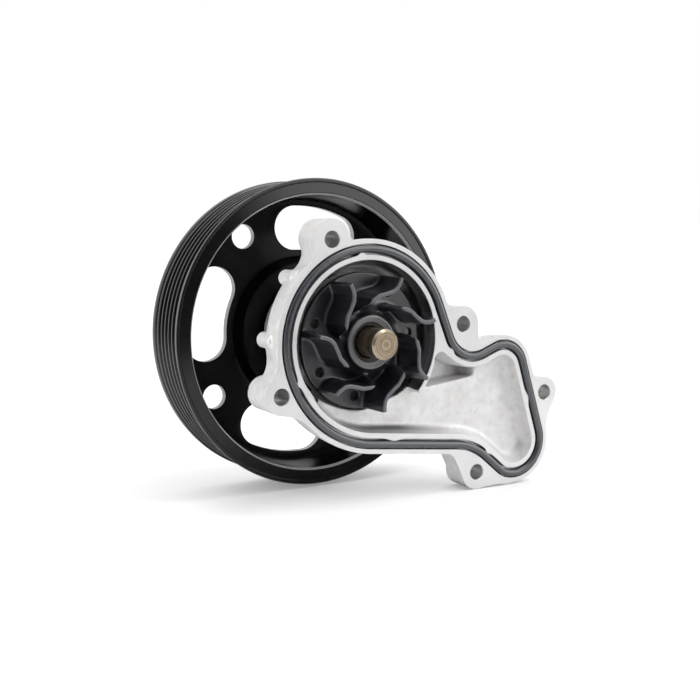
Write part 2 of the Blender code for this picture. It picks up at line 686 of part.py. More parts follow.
# ---- assembly ---------------------------------------------------------------------------------------
def build():
    clear_scene()
    aluminium = material("cast_aluminium", (0.78, 0.78, 0.76), 0.85, 0.42)
    rubber = material("blue_black_rubber", (0.035, 0.045, 0.06), 0.0, 0.38)
    coated = material("blue_black_impeller", (0.05, 0.05, 0.065), 0.55, 0.36)
    steel = material("turned_steel", (0.52, 0.47, 0.4), 1.0, 0.3)
    black = material("black_pulley_coat", (0.012, 0.012, 0.013), 0.3, 0.22)
    bearing = material("bearing_steel", (0.6, 0.6, 0.62), 1.0, 0.18)
    cage = material("cage_plastic", (0.2, 0.12, 0.06), 0.0, 0.45)
    plated = material("plated_case", (0.62, 0.5, 0.28), 1.0, 0.35)
    carbon = material("seal_carbon", (0.03, 0.03, 0.03), 0.1, 0.5)
    ceramic = material("seal_ceramic", (0.85, 0.84, 0.8), 0.0, 0.3)

    make_housing(aluminium)
    make_gasket(rubber)

    rotor = axis_empty("rotor_axis", SHAFT_TIP)
    for piece in (make_shaft(steel), make_impeller(coated), make_pulley(black), make_pulley_hub(bearing)):
        hang(piece, rotor)

    make_outer_ring(bearing)
    make_bearing_seal("front_bearing_seal", BEARING_START + 0.9, rubber)
    make_bearing_seal("rear_bearing_seal", BEARING_END - 1.9, rubber)
    for row, y in ROWS.items():
        empty = axis_empty(f"{row}_row_axis", y)
        make_balls(row, y, bearing, empty)
        make_cage(row, y, cage, empty)

    make_seal_case(plated)
    make_bellows(rubber)
    make_spring(steel)
    stationary, rotating, boot = make_seal_rings(carbon, ceramic, rubber)
    hang(rotating, rotor)
    hang(boot, rotor)


build()
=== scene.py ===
"""Looks for an engine coolant pump: cast housing, moulded gasket, open impeller, bearing, ribbed-belt pulley.

Shapes are worked out in millimetres, with y measured from the mounting face; new_object moves them
into the frame, in metres. Cast shapes are sampled fields (negative inside) turned into quad
meshes, so that they have real fillets; machined faces are cut into them afterwards and stay sharp.
"""

import json
import math

import bmesh
import bpy
import numpy as np
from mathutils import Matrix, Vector


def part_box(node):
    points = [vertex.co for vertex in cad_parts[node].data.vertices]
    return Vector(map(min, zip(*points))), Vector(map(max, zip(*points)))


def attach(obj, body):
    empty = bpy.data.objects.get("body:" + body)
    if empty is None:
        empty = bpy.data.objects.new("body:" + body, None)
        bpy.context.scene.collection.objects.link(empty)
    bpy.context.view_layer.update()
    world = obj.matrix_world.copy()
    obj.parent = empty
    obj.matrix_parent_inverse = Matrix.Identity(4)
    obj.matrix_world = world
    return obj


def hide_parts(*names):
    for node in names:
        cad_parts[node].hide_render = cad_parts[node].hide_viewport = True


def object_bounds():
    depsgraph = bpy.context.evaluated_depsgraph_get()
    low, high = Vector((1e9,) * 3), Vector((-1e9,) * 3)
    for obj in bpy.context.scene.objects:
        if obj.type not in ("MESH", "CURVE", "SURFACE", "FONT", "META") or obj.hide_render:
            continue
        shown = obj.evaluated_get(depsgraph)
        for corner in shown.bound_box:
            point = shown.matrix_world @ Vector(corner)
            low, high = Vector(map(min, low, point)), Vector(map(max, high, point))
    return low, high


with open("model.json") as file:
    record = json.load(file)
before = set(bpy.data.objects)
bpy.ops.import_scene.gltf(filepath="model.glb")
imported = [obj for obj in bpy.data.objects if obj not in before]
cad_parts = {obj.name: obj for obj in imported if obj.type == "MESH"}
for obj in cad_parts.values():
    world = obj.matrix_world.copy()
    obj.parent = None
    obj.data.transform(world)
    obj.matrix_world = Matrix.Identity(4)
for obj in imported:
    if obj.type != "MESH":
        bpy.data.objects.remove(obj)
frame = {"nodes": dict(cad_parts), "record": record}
CAD_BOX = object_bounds()

MM = 0.001
MOUNTS = {mount["name"]: mount for mount in frame["record"]["mounts"]}
FACE_Y = MOUNTS["engine_face"]["pos_m"][1] / MM
GAP = 0.3

# ---- design values shared with the CAD, mm ----
# The seal track is a belt around circles: (x, z, radius, turn), turn +1 keeps the circle inside the belt.
SEAL_TRACK = (
    (0.0, 0.0, 36.4, 1),
    (6.2, 1.4, 42.7, 1),
    (41.3, -73.5, 28.0, -1),
    (73.2, -52.0, 9.0, 1),
    (75.0, -47.7, 13.55, 1),
    (67.8, -16.3, 11.0, 1),
    (52.5, 4.6, 14.0, -1),
)
FLANGE_EDGE = 4.2
OPENING_EDGE = -4.1
GROOVE_INNER = -2.1
GROOVE_OUTER = 2.35
GROOVE_DEPTH = 3.1
GASKET_HALF = 1.5
GASKET_MIDDLE = 0.3
GASKET_PROUD = 1.0
# Points of the groove's inner wall that bulge outwards to grip the gasket, and how far they reach.
GRIPS = ((-3.1, 35.1), (11.3, -41.0), (81.9, -27.1), (59.9, -51.6), (40.9, -6.2), (-35.0, -16.5))
GRIP_REACH = 1.05
GRIP_WIDTH = 1.5
FLANGE_DEPTH = 12.0
CHAMBER_FLOOR = 6.0
POCKET_FLOOR = 12.0
POCKET_MOUTH_R = 32.4
POCKET_FLOOR_R = 28.1
CUTWATER_R = 33.9
CUTWATER_TURN = math.radians(-42.0)        # the cutwater's tip
CUTWATER_RAMP = math.radians(20.0)         # the pocket widens to its cone over this turn, up to the tip
VOLUTE_START = math.radians(-155.0)        # the spiral channel starts here and ramps down to the chamber
VOLUTE_RAMP = math.radians(50.0)
HOLE_R = 3.27
# Each lug: hole x, z, boss radius, boss depth, and the circles that tie the boss to the casting.
LUGS = (
    ((-16.56, 40.47), 7.9, 13.3, ((-15.5, 28.0, 9.5),)),
    ((-38.96, -19.02), 6.9, 15.8, ((-28.0, -12.0, 12.0), (-27.0, -21.0, 8.0))),
    ((46.65, 4.68), 7.3, 12.6, ((30.0, 2.0, 10.0), (48.2, -7.0, 7.0))),
    ((91.02, -27.43), 6.4, 12.6, ((80.0, -28.0, 7.3), (82.0, -42.0, 8.5))),
    ((54.49, -58.79), 7.1, 13.0, ((50.0, -48.0, 8.0), (70.0, -57.0, 8.3))),
)
RECESS_CORNERS = ((33.2, -19.6, 1.6, 1), (54.6, -16.6, 1.9, 1), (35.6, -9.8, 3.2, 1))
RECESS_FLOOR = 14.5
RECESS_WALL = 3.0
# The chamber's wall leans outwards by the first slope, and by both from the given x on, over a span.
CHAMBER_SLOPES = (0.20, 0.13)
CHAMBER_LEAN_X = 45.0
CHAMBER_LEAN_SPAN = 20.0
LIT_PATCH_TURN = math.radians(74.0)             # the painted light patch on the pocket's wall lies in this direction
LIT_PATCH_SECTOR = (0.80, 0.94)                 # cosines off that direction where it begins and is full
LOWER_WALL_Z = (-0.030, -0.036)            # the painted shade on the chamber's lower wall fades in below here, m
LOWER_WALL_X = (0.018, 0.048)              # and fades out to the right of here, m
BRIDGE_Z = -8.4                            # the land is whole above this height, left of the outlet,
BRIDGE_X = 47.0                            # which lies to the right of here
EJECTOR_POSTS = ((-28.4, 25.4), (-38.2, 1.6))
EJECTOR_POST_R = 3.2
EJECTOR_POST_END = 16.5
CAST_STOCK = 2.5                           # metal left in front of the mounting face, then cut off
CAST_DRAFT = 0.09
CONE_R = 35.0
CONE_START = 12.0
CONE_END_R = 22.0
CONE_END = 23.5
SNOUT_R = 21.0
SNOUT_END = 49.5
RIBS = 5
FIRST_RIB = 36.0                           # degrees
RIB_HALF = 1.5
RIB_SLOPE = (0.88, 0.47)                   # normal of a rib's sloping edge, outwards and along y
RIB_END = 39.5
SNOUT_FACE = SNOUT_END - 0.05              # the snout's end is milled this far
BEARING_SHOULDER_R = 13.0
BEARING_SEAT_R = 15.3
BEARING_START = 25.0
SEAL_BORE_R = 16.0
SEAL_BORE_END = 22.5
WEEP_R = 2.0
WEEP_Y = 23.7

SHAFT_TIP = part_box("shaft")[0].y / MM - FACE_Y
SHAFT_NOSE_R = 6.05
SHAFT_R = 7.95
SHAFT_STEP = 22.8
SHAFT_END = 61.5

DISC_R = 27.3
DISC_FRONT = 5.5
DISC_BACK = 8.0
HUB_R = 11.0
HUB_FRONT = -2.5
HUB_CONE_FRONT = -1.0
HUB_CONE_SLOPE = 0.8
BLADES = 7
BLADE_FRONT = -9.2
BLADE_HALF = 0.85
BLADE_DRAFT = 0.02
EYE_R = 16.5                               # the blades' inner ends, at their front edge
EYE_SLOPE = 0.33
FIRST_BLADE = math.radians(-34.3)
BLADE_LINE = ((27.2, 0.0), (25.0, 0.2), (22.8, 1.5), (21.0, 5.0), (19.6, 12.5), (18.7, 23.0),
              (17.3, 33.0), (15.0, 41.0), (12.6, 45.0))
BALANCE_HOLE = (22.35, math.radians(-11.7), 1.9)

RIM_FRONT = 39.3
RIM_BACK = 67.0
RIM_R = 65.0
RIM_BACK_R = 64.0
RIM_INNER_R = 56.6
GROOVES = 6
GROOVE_PITCH = 3.56
GROOVE_START = 41.2
GROOVE_CREST_R = 63.2
GROOVE_ROOT_R = 60.4
WEB_FRONT = 57.0
WEB_THICK = 3.0
DISH_R = 33.0
DISH_LIFT = 5.5
PULLEY_HUB_FRONT = 50.6
HUB_BOSS_R = 13.0
HUB_FLANGE_R = 23.0
WINDOW_R = 44.1
WINDOW_HALF = 9.45
WINDOW_SWEEP = math.radians(13.9)
WINDOW_FIRST = math.radians(78.5)
SPOKE_HOLE_R = 5.17
SPOKE_HOLE_PITCH_R = 48.4
SPOKE_HOLE_FIRST = math.radians(33.0)

CAST_STEP = 0.5     # sample spacing of the housing's field
IMPELLER_STEP = 0.3
SWEEP_STEP = math.radians(3.0)             # arcs of outlines
TURN_FACETS = 192


# ---- outlines ----
def polar(radius, angle):
    return radius * math.cos(angle), radius * math.sin(angle)


def belt(circles, offset=0.0, step=SWEEP_STEP):
    """Points of a closed belt around circles, counter-clockwise, moved outwards by an offset."""
    count = len(circles)
    headings = []
    for i, (x0, z0, r0, turn0) in enumerate(circles):
        x1, z1, r1, turn1 = circles[(i + 1) % count]
        span = math.hypot(x1 - x0, z1 - z0)
        lean = math.asin((turn1 * r1 - turn0 * r0) / span)
        headings.append(math.atan2(z1 - z0, x1 - x0) - lean)
    points = []
    for i, (x, z, radius, turn) in enumerate(circles):
        start = headings[i - 1]
        sweep = (turn * (headings[i] - start)) % math.tau
        pieces = max(1, math.ceil(sweep / step))
        reach = turn * radius + offset
        for k in range(pieces + 1):
            heading = start + turn * sweep * k / pieces
            points.append((x + reach * math.sin(heading), z - reach * math.cos(heading)))
    return points


def at_depth(outline, y):
    return [(x, y, z) for x, z in outline]


def denser(points, pieces):
    """The closed outline with each of its sides split into equal pieces."""
    split = []
    for (ax, az), (bx, bz) in zip(points, points[1:] + points[:1]):
        for k in range(pieces):
            share = k / pieces
            split.append((ax + (bx - ax) * share, az + (bz - az) * share))
    return split


def circle(x, z, radius, facets=48):
    points = []
    for k in range(facets):
        dx, dz = polar(radius, math.tau * k / facets)
        points.append((x + dx, z + dz))
    return points


def rounded(profile, radii, pieces=5):
    """A closed profile with its corners turned into arcs; radii maps a corner's number to its radius."""
    points = []
    count = len(profile)
    for i, corner in enumerate(profile):
        if i not in radii:
            points.append(corner)
            continue
        here = Vector(corner)
        before = (Vector(profile[i - 1]) - here).normalized()
        after = (Vector(profile[(i + 1) % count]) - here).normalized()
        half = before.angle(after) / 2
        reach = radii[i] / math.tan(half)
        start = here + before * reach
        end = here + after * reach
        for k in range(pieces + 1):
            t = k / pieces
            point = start * (1 - t) ** 2 + here * 2 * t * (1 - t) + end * t ** 2
            points.append(tuple(point))
    return points


# ---- meshes ----
def add(name, data):
    """A new object in the scene with this mesh, light or camera."""
    obj = bpy.data.objects.new(name, data)
    bpy.context.scene.collection.objects.link(obj)
    return obj


def mesh_of(name, verts, faces):
    mesh = bpy.data.meshes.new(name)
    mesh.from_pydata(verts, [], faces)
    return mesh


def dress(obj, *mats):
    """Give an object these materials and no others."""
    obj.data.materials.clear()
    for mat in mats:
        obj.data.materials.append(mat)


def new_object(name, verts, faces):
    """An object whose points are given in millimetres, y from the mounting face."""
    points = np.asarray(verts, float)
    points = (points + (0.0, FACE_Y, 0.0)) * MM
    return add(name, mesh_of(name, points.tolist(), faces))


def face_outwards(obj):
    work = bmesh.new()
    work.from_mesh(obj.data)
    bmesh.ops.recalc_face_normals(work, faces=work.faces)
    work.to_mesh(obj.data)
    work.free()
    return obj


def smooth(obj, sharp=32.0):
    obj.data.shade_smooth()
    obj.data.set_sharp_from_angle(angle=math.radians(sharp))
    return obj


def turned(name, profile, facets=TURN_FACETS):
    """A solid of revolution about the shaft axis from a closed profile of (radius, y)."""
    verts = []
    index = []
    for radius, y in profile:
        if radius == 0.0:
            index.append([len(verts)] * facets)
            verts.append((0.0, y, 0.0))
            continue
        index.append(list(range(len(verts), len(verts) + facets)))
        for k in range(facets):
            x, z = polar(radius, math.tau * k / facets)
            verts.append((x, y, z))
    faces = []
    for a in range(len(profile)):
        b = (a + 1) % len(profile)
        for k in range(facets):
            m = (k + 1) % facets
            ring = (index[a][k], index[a][m], index[b][m], index[b][k])
            corners = tuple(dict.fromkeys(ring))
            if len(corners) > 2:
                faces.append(corners)
    return face_outwards(new_object(name, verts, faces))


def loft(rings, ends=True):
    """Vertices and faces of a solid through rings of 3-D points, which has ends or closes on itself."""
    count = len(rings[0])
    verts = [tuple(point) for ring in rings for point in ring]
    faces = []
    for a in range(len(rings) - ends):
        b = (a + 1) % len(rings)
        for i in range(count):
            j = (i + 1) % count
            faces.append((a * count + i, a * count + j, b * count + j, b * count + i))
    if ends:
        faces.append(tuple(range(count)))
        faces.append(tuple(range(len(verts) - count, len(verts))))
    return verts, faces


def prisms(name, outlines, levels):
    """Several prisms in one mesh; each level is (y, scale about the outline's own centre)."""
    verts = []
    faces = []
    for outline in outlines:
        middle = np.mean(outline, axis=0)
        rings = []
        for y, scale in levels:
            rings.append(at_depth((np.asarray(outline) - middle) * scale + middle, y))
        more_verts, more_faces = loft(rings)
        faces += [tuple(i + len(verts) for i in face) for face in more_faces]
        verts += more_verts
    return face_outwards(new_object(name, verts, faces))


def tube_of(name, columns):
    """A ring-shaped solid through closed lines of points, one for each corner of its section."""
    return face_outwards(new_object(name, *loft(columns, ends=False)))


def cut(obj, *cutters):
    """Cut closed helpers out of a closed mesh, leaving only its final mesh."""
    for cutter in cutters:
        boolean = obj.modifiers.new("cut", "BOOLEAN")
        boolean.object = cutter
        boolean.operation = "DIFFERENCE"
        boolean.solver = "MANIFOLD"
    graph = bpy.context.evaluated_depsgraph_get()
    mesh = bpy.data.meshes.new_from_object(obj.evaluated_get(graph))
    obj.modifiers.clear()
    old = obj.data
    obj.data = mesh
    mesh.name = obj.name
    bpy.data.meshes.remove(old)
    for cutter in cutters:
        bpy.data.objects.remove(cutter)
    return obj


# ---- sampled fields ----
class Grid:
    """Sample points of a box in millimetres, as three arrays that combine by broadcasting."""

    def __init__(self, low, high, step):
        self.low = np.asarray(low, float)
        self.step = step
        axes = [np.arange(a, b + step, step, dtype=np.float32) for a, b in zip(low, high)]
        self.x = axes[0][:, None, None]
        self.y = axes[1][None, :, None]
        self.z = axes[2][None, None, :]
        self.r = np.sqrt(self.x ** 2 + self.z ** 2)
        self.turn = np.arctan2(self.z, self.x)


def square_gap(start, side, x, z):
    """Squared distance from points to a straight side."""
    (ax, az), (ex, ez) = start, side
    along = np.clip(((x - ax) * ex + (z - az) * ez) / (ex * ex + ez * ez), 0.0, 1.0)
    return (x - ax - along * ex) ** 2 + (z - az - along * ez) ** 2


def outline_field(outline, x, z):
    """Signed distance from points to a closed outline, negative inside."""
    best = np.full(np.broadcast(x, z).shape, 1e9, np.float32)
    inside = np.zeros(best.shape, bool)
    for (ax, az), (bx, bz) in zip(outline, outline[1:] + outline[:1]):
        ex = bx - ax
        ez = bz - az
        if ex * ex + ez * ez < 1e-9:
            continue
        best = np.minimum(best, square_gap((ax, az), (ex, ez), x, z))
        if ez:
            crosses = ((az > z) != (bz > z)) & (x < ax + (z - az) * ex / ez)
            inside ^= crosses
    return np.where(inside, -1.0, 1.0).astype(np.float32) * np.sqrt(best)


def line_field(points, x, z):
    """Distance from points to an open line."""
    best = np.full(np.broadcast(x, z).shape, 1e9, np.float32)
    for (ax, az), (bx, bz) in zip(points, points[1:]):
        best = np.minimum(best, square_gap((ax, az), (bx - ax, bz - az), x, z))
    return np.sqrt(best)


def join(a, b, fillet):
    """Union of two fields with a fillet where they meet."""
    share = np.clip(0.5 + 0.5 * (b - a) / fillet, 0.0, 1.0)
    return b * (1 - share) + a * share - fillet * share * (1 - share)


def common(a, b, edge):
    """Intersection of two fields with a rounded edge."""
    return -join(-a, -b, edge)


def remove(a, b, edge):
    """The first field without the second, with a rounded edge."""
    return common(a, -b, edge)


def plate(flat, y, front, back, edge):
    """A flat outline's field extruded from front to back, with rounded edges."""
    along = np.abs(y - (front + back) / 2) - (back - front) / 2 + edge
    across = flat + edge
    outside = np.sqrt(np.maximum(along, 0) ** 2 + np.maximum(across, 0) ** 2)
    return outside + np.minimum(np.maximum(along, across), 0) - edge


def disc_flat(grid, x, z, radius):
    return np.sqrt((grid.x - x) ** 2 + (grid.z - z) ** 2) - radius


def field_mesh(name, values, grid):
    """A quad mesh through the field's zero level: one vertex for each crossed cell of the grid."""
    inside = values < 0
    corners = [(i, j, k) for i in (0, 1) for j in (0, 1) for k in (0, 1)]
    size = [n - 1 for n in values.shape]
    count = np.zeros(size, np.int8)
    for i, j, k in corners:
        count += inside[i:i + size[0], j:j + size[1], k:k + size[2]]
    crossed = (count > 0) & (count < 8)
    cells = np.argwhere(crossed)
    index = np.full(size, -1, np.int64)
    index[crossed] = np.arange(len(cells))
    levels = {c: values[cells[:, 0] + c[0], cells[:, 1] + c[1], cells[:, 2] + c[2]] for c in corners}
    total = np.zeros((len(cells), 3))
    hits = np.zeros(len(cells))
    for near in corners:
        for axis in range(3):
            if near[axis]:
                continue
            far = tuple(1 if a == axis else near[a] for a in range(3))
            hit = (levels[near] < 0) != (levels[far] < 0)
            share = levels[near][hit] / (levels[near][hit] - levels[far][hit])
            point = np.tile(np.asarray(near, float), (hit.sum(), 1))
            point[:, axis] = share
            total[hit] += point
            hits[hit] += 1
    verts = grid.low + (cells + total / hits[:, None]) * grid.step
    quads = []
    for axis in range(3):
        u = (axis + 1) % 3
        v = (axis + 2) % 3
        low_side = np.take(inside, range(values.shape[axis] - 1), axis)
        high_side = np.take(inside, range(1, values.shape[axis]), axis)
        edges = np.argwhere(low_side != high_side)
        leaving = low_side[edges[:, 0], edges[:, 1], edges[:, 2]]
        ring = []
        for du, dv in ((-1, -1), (0, -1), (0, 0), (-1, 0)):
            cell = edges.copy()
            cell[:, u] += du
            cell[:, v] += dv
            ring.append(index[cell[:, 0], cell[:, 1], cell[:, 2]])
        ring = np.stack(ring, 1)
        ring[~leaving] = ring[~leaving][:, ::-1]
        quads.append(ring)
    return new_object(name, verts, np.concatenate(quads).tolist())


# ---- materials ----
NOISE_ROUGHNESS = 0.55
# Colour, roughness and pitch of the turning marks in mm.
PLAIN_METALS = {
    "hub_steel": ((0.42, 0.42, 0.43), 0.34, 0.3),
    "bearing_steel": ((0.62, 0.62, 0.64), 0.18, 0.15),
    "seal_case_brass": ((0.72, 0.57, 0.30), 0.3, 0.3),
    "spring_steel": ((0.58, 0.58, 0.58), 0.25, 0.3),
}
# Colour, roughness, size of the grain and its depth in mm.
PLAIN_SOFTS = {
    "seal_rubber": ((0.035, 0.035, 0.038), 0.55, 0.4, 0.02),
    "cage_polymer": ((0.30, 0.19, 0.09), 0.45, 0.4, 0.02),
    "carbon": ((0.04, 0.04, 0.04), 0.4, 0.2, 0.005),
    "ceramic": ((0.86, 0.85, 0.80), 0.25, 0.3, 0.004),
}


def grey(level):
    return level, level, level


class Graph:
    """The shader nodes of a material or of the world."""

    def __init__(self, owner):
        owner.use_nodes = True
        self.nodes = owner.node_tree.nodes
        self.links = owner.node_tree.links

    def node(self, kind, **values):
        """A new node with some of its inputs set; an underscore stands for a space in an input's name."""
        node = self.nodes.new("ShaderNode" + kind)
        for name, value in values.items():
            node.inputs[name.replace("_", " ")].default_value = value
        return node

    def link(self, source, node, socket):
        self.links.new(source, node.inputs[socket])


class Shader(Graph):
    """A procedural material: a Principled shader and the nodes that feed it, in object coordinates."""

    def __init__(self, name, metallic=0.0):
        self.mat = bpy.data.materials.new(name)
        super().__init__(self.mat)
        self.shader = self.nodes["Principled BSDF"]
        self.shader.inputs["Metallic"].default_value = metallic
        self.coords = self.node("TexCoord").outputs["Object"]
        self.normal = None

    def noise(self, size_mm, detail=3.0, stretch=(1, 1, 1)):
        """Noise with features of about this size; stretch lengthens them along an axis."""
        mapping = self.node("Mapping", Scale=[1.0 / s for s in stretch])
        self.link(self.coords, mapping, "Vector")
        texture = self.node("TexNoise", Scale=1.0 / (size_mm * MM), Detail=detail, Roughness=NOISE_ROUGHNESS)
        self.link(mapping.outputs[0], texture, "Vector")
        return texture.outputs["Fac"]

    def ring_noise(self, pitch_mm):
        """Noise that depends on the distance from the shaft axis and on y, for turned surfaces."""
        place = self.node("CombineXYZ")
        self.link(self.radius(), place, "X")
        self.link(self.split(self.coords)["Y"], place, "Y")
        texture = self.node("TexNoise", Scale=1.0 / (pitch_mm * MM), Detail=2.0)
        self.link(place.outputs[0], texture, "Vector")
        return texture.outputs["Fac"]

    def maths(self, operation, a, b=None):
        node = self.node("Math")
        node.operation = operation
        for socket, value in zip(node.inputs, (a, b)):
            if value is None:
                continue
            if isinstance(value, (int, float)):
                socket.default_value = value
            else:
                self.links.new(value, socket)
        return node.outputs[0]

    def times(self, a, b):
        return self.maths("MULTIPLY", a, b)

    def inverse(self, mask):
        return self.maths("SUBTRACT", 1.0, mask)

    def span(self, source, low=0.0, high=1.0, clamp=(0.3, 0.7)):
        """Map a 0..1 source, read between the clamp values, to low..high."""
        node = self.node("MapRange", From_Min=clamp[0], From_Max=clamp[1], To_Min=low, To_Max=high)
        self.link(source, node, "Value")
        return node.outputs[0]

    def mix(self, share, a, b):
        """Mix two colours; each is a tuple or a socket."""
        node = self.node("Mix")
        node.data_type = "RGBA"
        self.links.new(share, node.inputs["Factor"])
        for socket, value in zip((node.inputs[6], node.inputs[7]), (a, b)):
            if isinstance(value, tuple):
                socket.default_value = (*value, 1.0)
            else:
                self.links.new(value, socket)
        return node.outputs[2]

    def rounded_normal(self, radius_mm):
        bevel = self.node("Bevel", Radius=radius_mm * MM)
        bevel.samples = 4
        return bevel.outputs[0]

    def mottle(self, size_mm, a, b, detail=3.0):
        """Cloudy mix of two colours, with clouds of about this size."""
        return self.mix(self.span(self.noise(size_mm, detail)), a, b)

    def edge_mask(self, radius_mm):
        """1 on outer edges, from how far a rounded normal leaves the true one."""
        geometry = self.node("NewGeometry")
        dot = self.node("VectorMath")
        dot.operation = "DOT_PRODUCT"
        self.links.new(self.rounded_normal(radius_mm), dot.inputs[0])
        self.links.new(geometry.outputs["Normal"], dot.inputs[1])
        return self.span(dot.outputs["Value"], 1.0, 0.0, (0.9, 0.995))

    def hollow_mask(self, reach_mm):
        """1 deep in hollows, from how much of the surroundings is near."""
        node = self.node("AmbientOcclusion", Distance=reach_mm * MM)
        node.samples = 6
        return self.span(node.outputs["AO"], 1.0, 0.0, (0.15, 0.7))

    def split(self, source):
        node = self.node("SeparateXYZ")
        self.links.new(source, node.inputs[0])
        return node.outputs

    def facing(self, axis):
        """The surface normal's share along an axis."""
        return self.split(self.node("NewGeometry").outputs["Normal"])[axis]

    def lower_wall(self):
        """1 in the part of the chamber where its lower wall stands, fading out towards the outlet; it places
        the painted shade there.
        """
        place = self.split(self.coords)
        low = self.span(place["Z"], 0.0, 1.0, LOWER_WALL_Z)
        left = self.span(place["X"], 1.0, 0.0, LOWER_WALL_X)
        return self.times(self.depth_band(0.3, CHAMBER_FLOOR + 0.4), self.times(low, left))

    def front_mask(self, near, far):
        """1 on surfaces that face the mounting side; fades out between two depths from the mounting face."""
        faces = self.span(self.facing("Y"), 1.0, 0.0, (-0.9, -0.5))
        depths = ((FACE_Y + near) * MM, (FACE_Y + far) * MM)
        ahead = self.span(self.split(self.coords)["Y"], 1.0, 0.0, depths)
        return self.times(faces, ahead)

    def radius(self):
        """Distance from the shaft axis."""
        place = self.split(self.coords)
        squares = [self.times(place[axis], place[axis]) for axis in ("X", "Z")]
        return self.maths("SQRT", self.maths("ADD", *squares))

    def near_axis(self, full, end):
        """1 within a radius of the shaft axis, 0 beyond another."""
        return self.span(self.radius(), 1.0, 0.0, (full * MM, end * MM))

    def depth_band(self, near, far):
        """1 between two depths from the mounting face."""
        y = self.split(self.coords)["Y"]
        after = self.maths("GREATER_THAN", y, (FACE_Y + near) * MM)
        return self.times(after, self.maths("LESS_THAN", y, (FACE_Y + far) * MM))

    def sheen(self, level):
        self.shader.inputs["IOR"].default_value = 1.6
        self.shader.inputs["Specular IOR Level"].default_value = level

    def round_edges(self, radius_mm):
        self.normal = self.rounded_normal(radius_mm)

    def bump(self, height, depth_mm, strength):
        node = self.node("Bump", Distance=depth_mm * MM, Strength=strength)
        self.link(height, node, "Height")
        if self.normal is not None:
            self.link(self.normal, node, "Normal")
        self.normal = node.outputs[0]

    def done(self, colour, roughness):
        self.link(colour, self.shader, "Base Color")
        self.link(roughness, self.shader, "Roughness")
        if self.normal is not None:
            self.link(self.normal, self.shader, "Normal")
        return self.mat


def cast_aluminium():
    """Blasted casting: fine grain, soft cloudy mottles, a few darker specks, painted shade in its hollows and
    on the chamber's lower wall.
    """
    s = Shader("cast_aluminium", metallic=0.35)
    s.round_edges(0.3)
    grain = s.noise(0.35, 2.0)
    clouds = s.noise(9.0, 4.0)
    specks = s.noise(1.3, 1.0)
    s.bump(s.noise(1.8, 3.0), 0.06, 0.6)
    s.bump(grain, 0.025, 0.7)
    base = s.mix(s.span(clouds), (0.75, 0.735, 0.73), grey(0.90))
    stained = s.mix(s.span(s.noise(3.2, 3.0), 0.0, 0.45, (0.52, 0.7)), base, (0.62, 0.59, 0.585))
    spotted = s.mix(s.span(specks, 0.0, 0.35, (0.72, 0.8)), stained, (0.45, 0.42, 0.41))
    # Painted shade: the colour turns darker grey deep in hollows.
    shaded = s.mix(s.hollow_mask(6.0), spotted, (0.42, 0.415, 0.41))
    # Painted shade on the chamber's lower wall: darkest where it turns up from the floor, mid-grey where it
    # faces up.
    rise = s.facing("Z")
    foot = s.mix(s.span(rise, 0.0, 1.0, (0.80, 1.0)), (0.105, 0.103, 0.102), grey(0.42))
    wall_foot_shaded = s.mix(s.times(s.lower_wall(), s.span(rise, 0.0, 1.0, (0.15, 0.45))), shaded, foot)
    return s.done(wall_foot_shaded, s.span(grain, 0.38, 0.52))


def milled_aluminium():
    """Milled face: brighter, with faint cutter arcs."""
    s = Shader("milled_aluminium", metallic=0.7)
    s.round_edges(0.2)
    marks = s.noise(0.25, 2.0, (18.0, 1.0, 1.0))
    s.bump(marks, 0.006, 0.5)
    base = s.mottle(14.0, grey(0.735), grey(0.80))
    return s.done(base, s.span(marks, 0.30, 0.42))


def dull_aluminium():
    """Walls of the bolt holes: greyer metal with fine rings along its depth, and painted shade deep in the
    holes.
    """
    s = Shader("dull_aluminium", metallic=0.85)
    rings = s.noise(0.5, 2.0, (6.0, 1.0, 6.0))
    s.bump(rings, 0.015, 0.5)
    base = s.mottle(2.0, (0.58, 0.58, 0.57), (0.68, 0.68, 0.67))
    # Painted shade: darker grey deep in the holes.
    shaded = s.mix(s.hollow_mask(4.0), base, grey(0.34))
    return s.done(shaded, s.span(rings, 0.34, 0.46))


def bored_aluminium():
    """The impeller pocket's turned wall: smooth enough to mirror the dark impeller, with a painted light
    patch, white and not metallic, at its top end.
    """
    s = Shader("bored_aluminium", metallic=1.0)
    rings = s.ring_noise(0.4)
    s.bump(rings, 0.01, 0.5)
    base = s.mottle(10.0, (0.62, 0.62, 0.61), (0.72, 0.72, 0.71))
    place = s.split(s.coords)
    # Painted light: a white, non-metallic patch on the upper, deeper part of the wall.
    lit_patch_x, lit_patch_z = polar(1.0, LIT_PATCH_TURN)
    ahead = s.maths("ADD", s.times(place["X"], lit_patch_x), s.times(place["Z"], lit_patch_z))
    sector = s.span(s.maths("DIVIDE", ahead, s.radius()), 0.0, 1.0, LIT_PATCH_SECTOR)
    deep = s.span(place["Y"], 0.0, 1.0, ((FACE_Y + 5.0) * MM, (FACE_Y + 8.0) * MM))
    lit_patch = s.times(sector, deep)
    s.link(s.span(lit_patch, 1.0, 0.1, (0.0, 1.0)), s.shader, "Metallic")
    return s.done(s.mix(lit_patch, base, grey(0.9)), s.span(rings, 0.16, 0.26))


def gasket_rubber():
    """Black moulded rubber with a sheen and a trace of dust."""
    s = Shader("gasket_rubber")
    s.sheen(1.0)
    s.bump(s.noise(0.5, 3.0), 0.012, 0.4)
    dust = s.noise(3.0, 5.0)
    base = s.mix(s.span(dust), (0.012, 0.015, 0.023), (0.024, 0.029, 0.041))
    return s.done(base, s.span(dust, 0.26, 0.36))


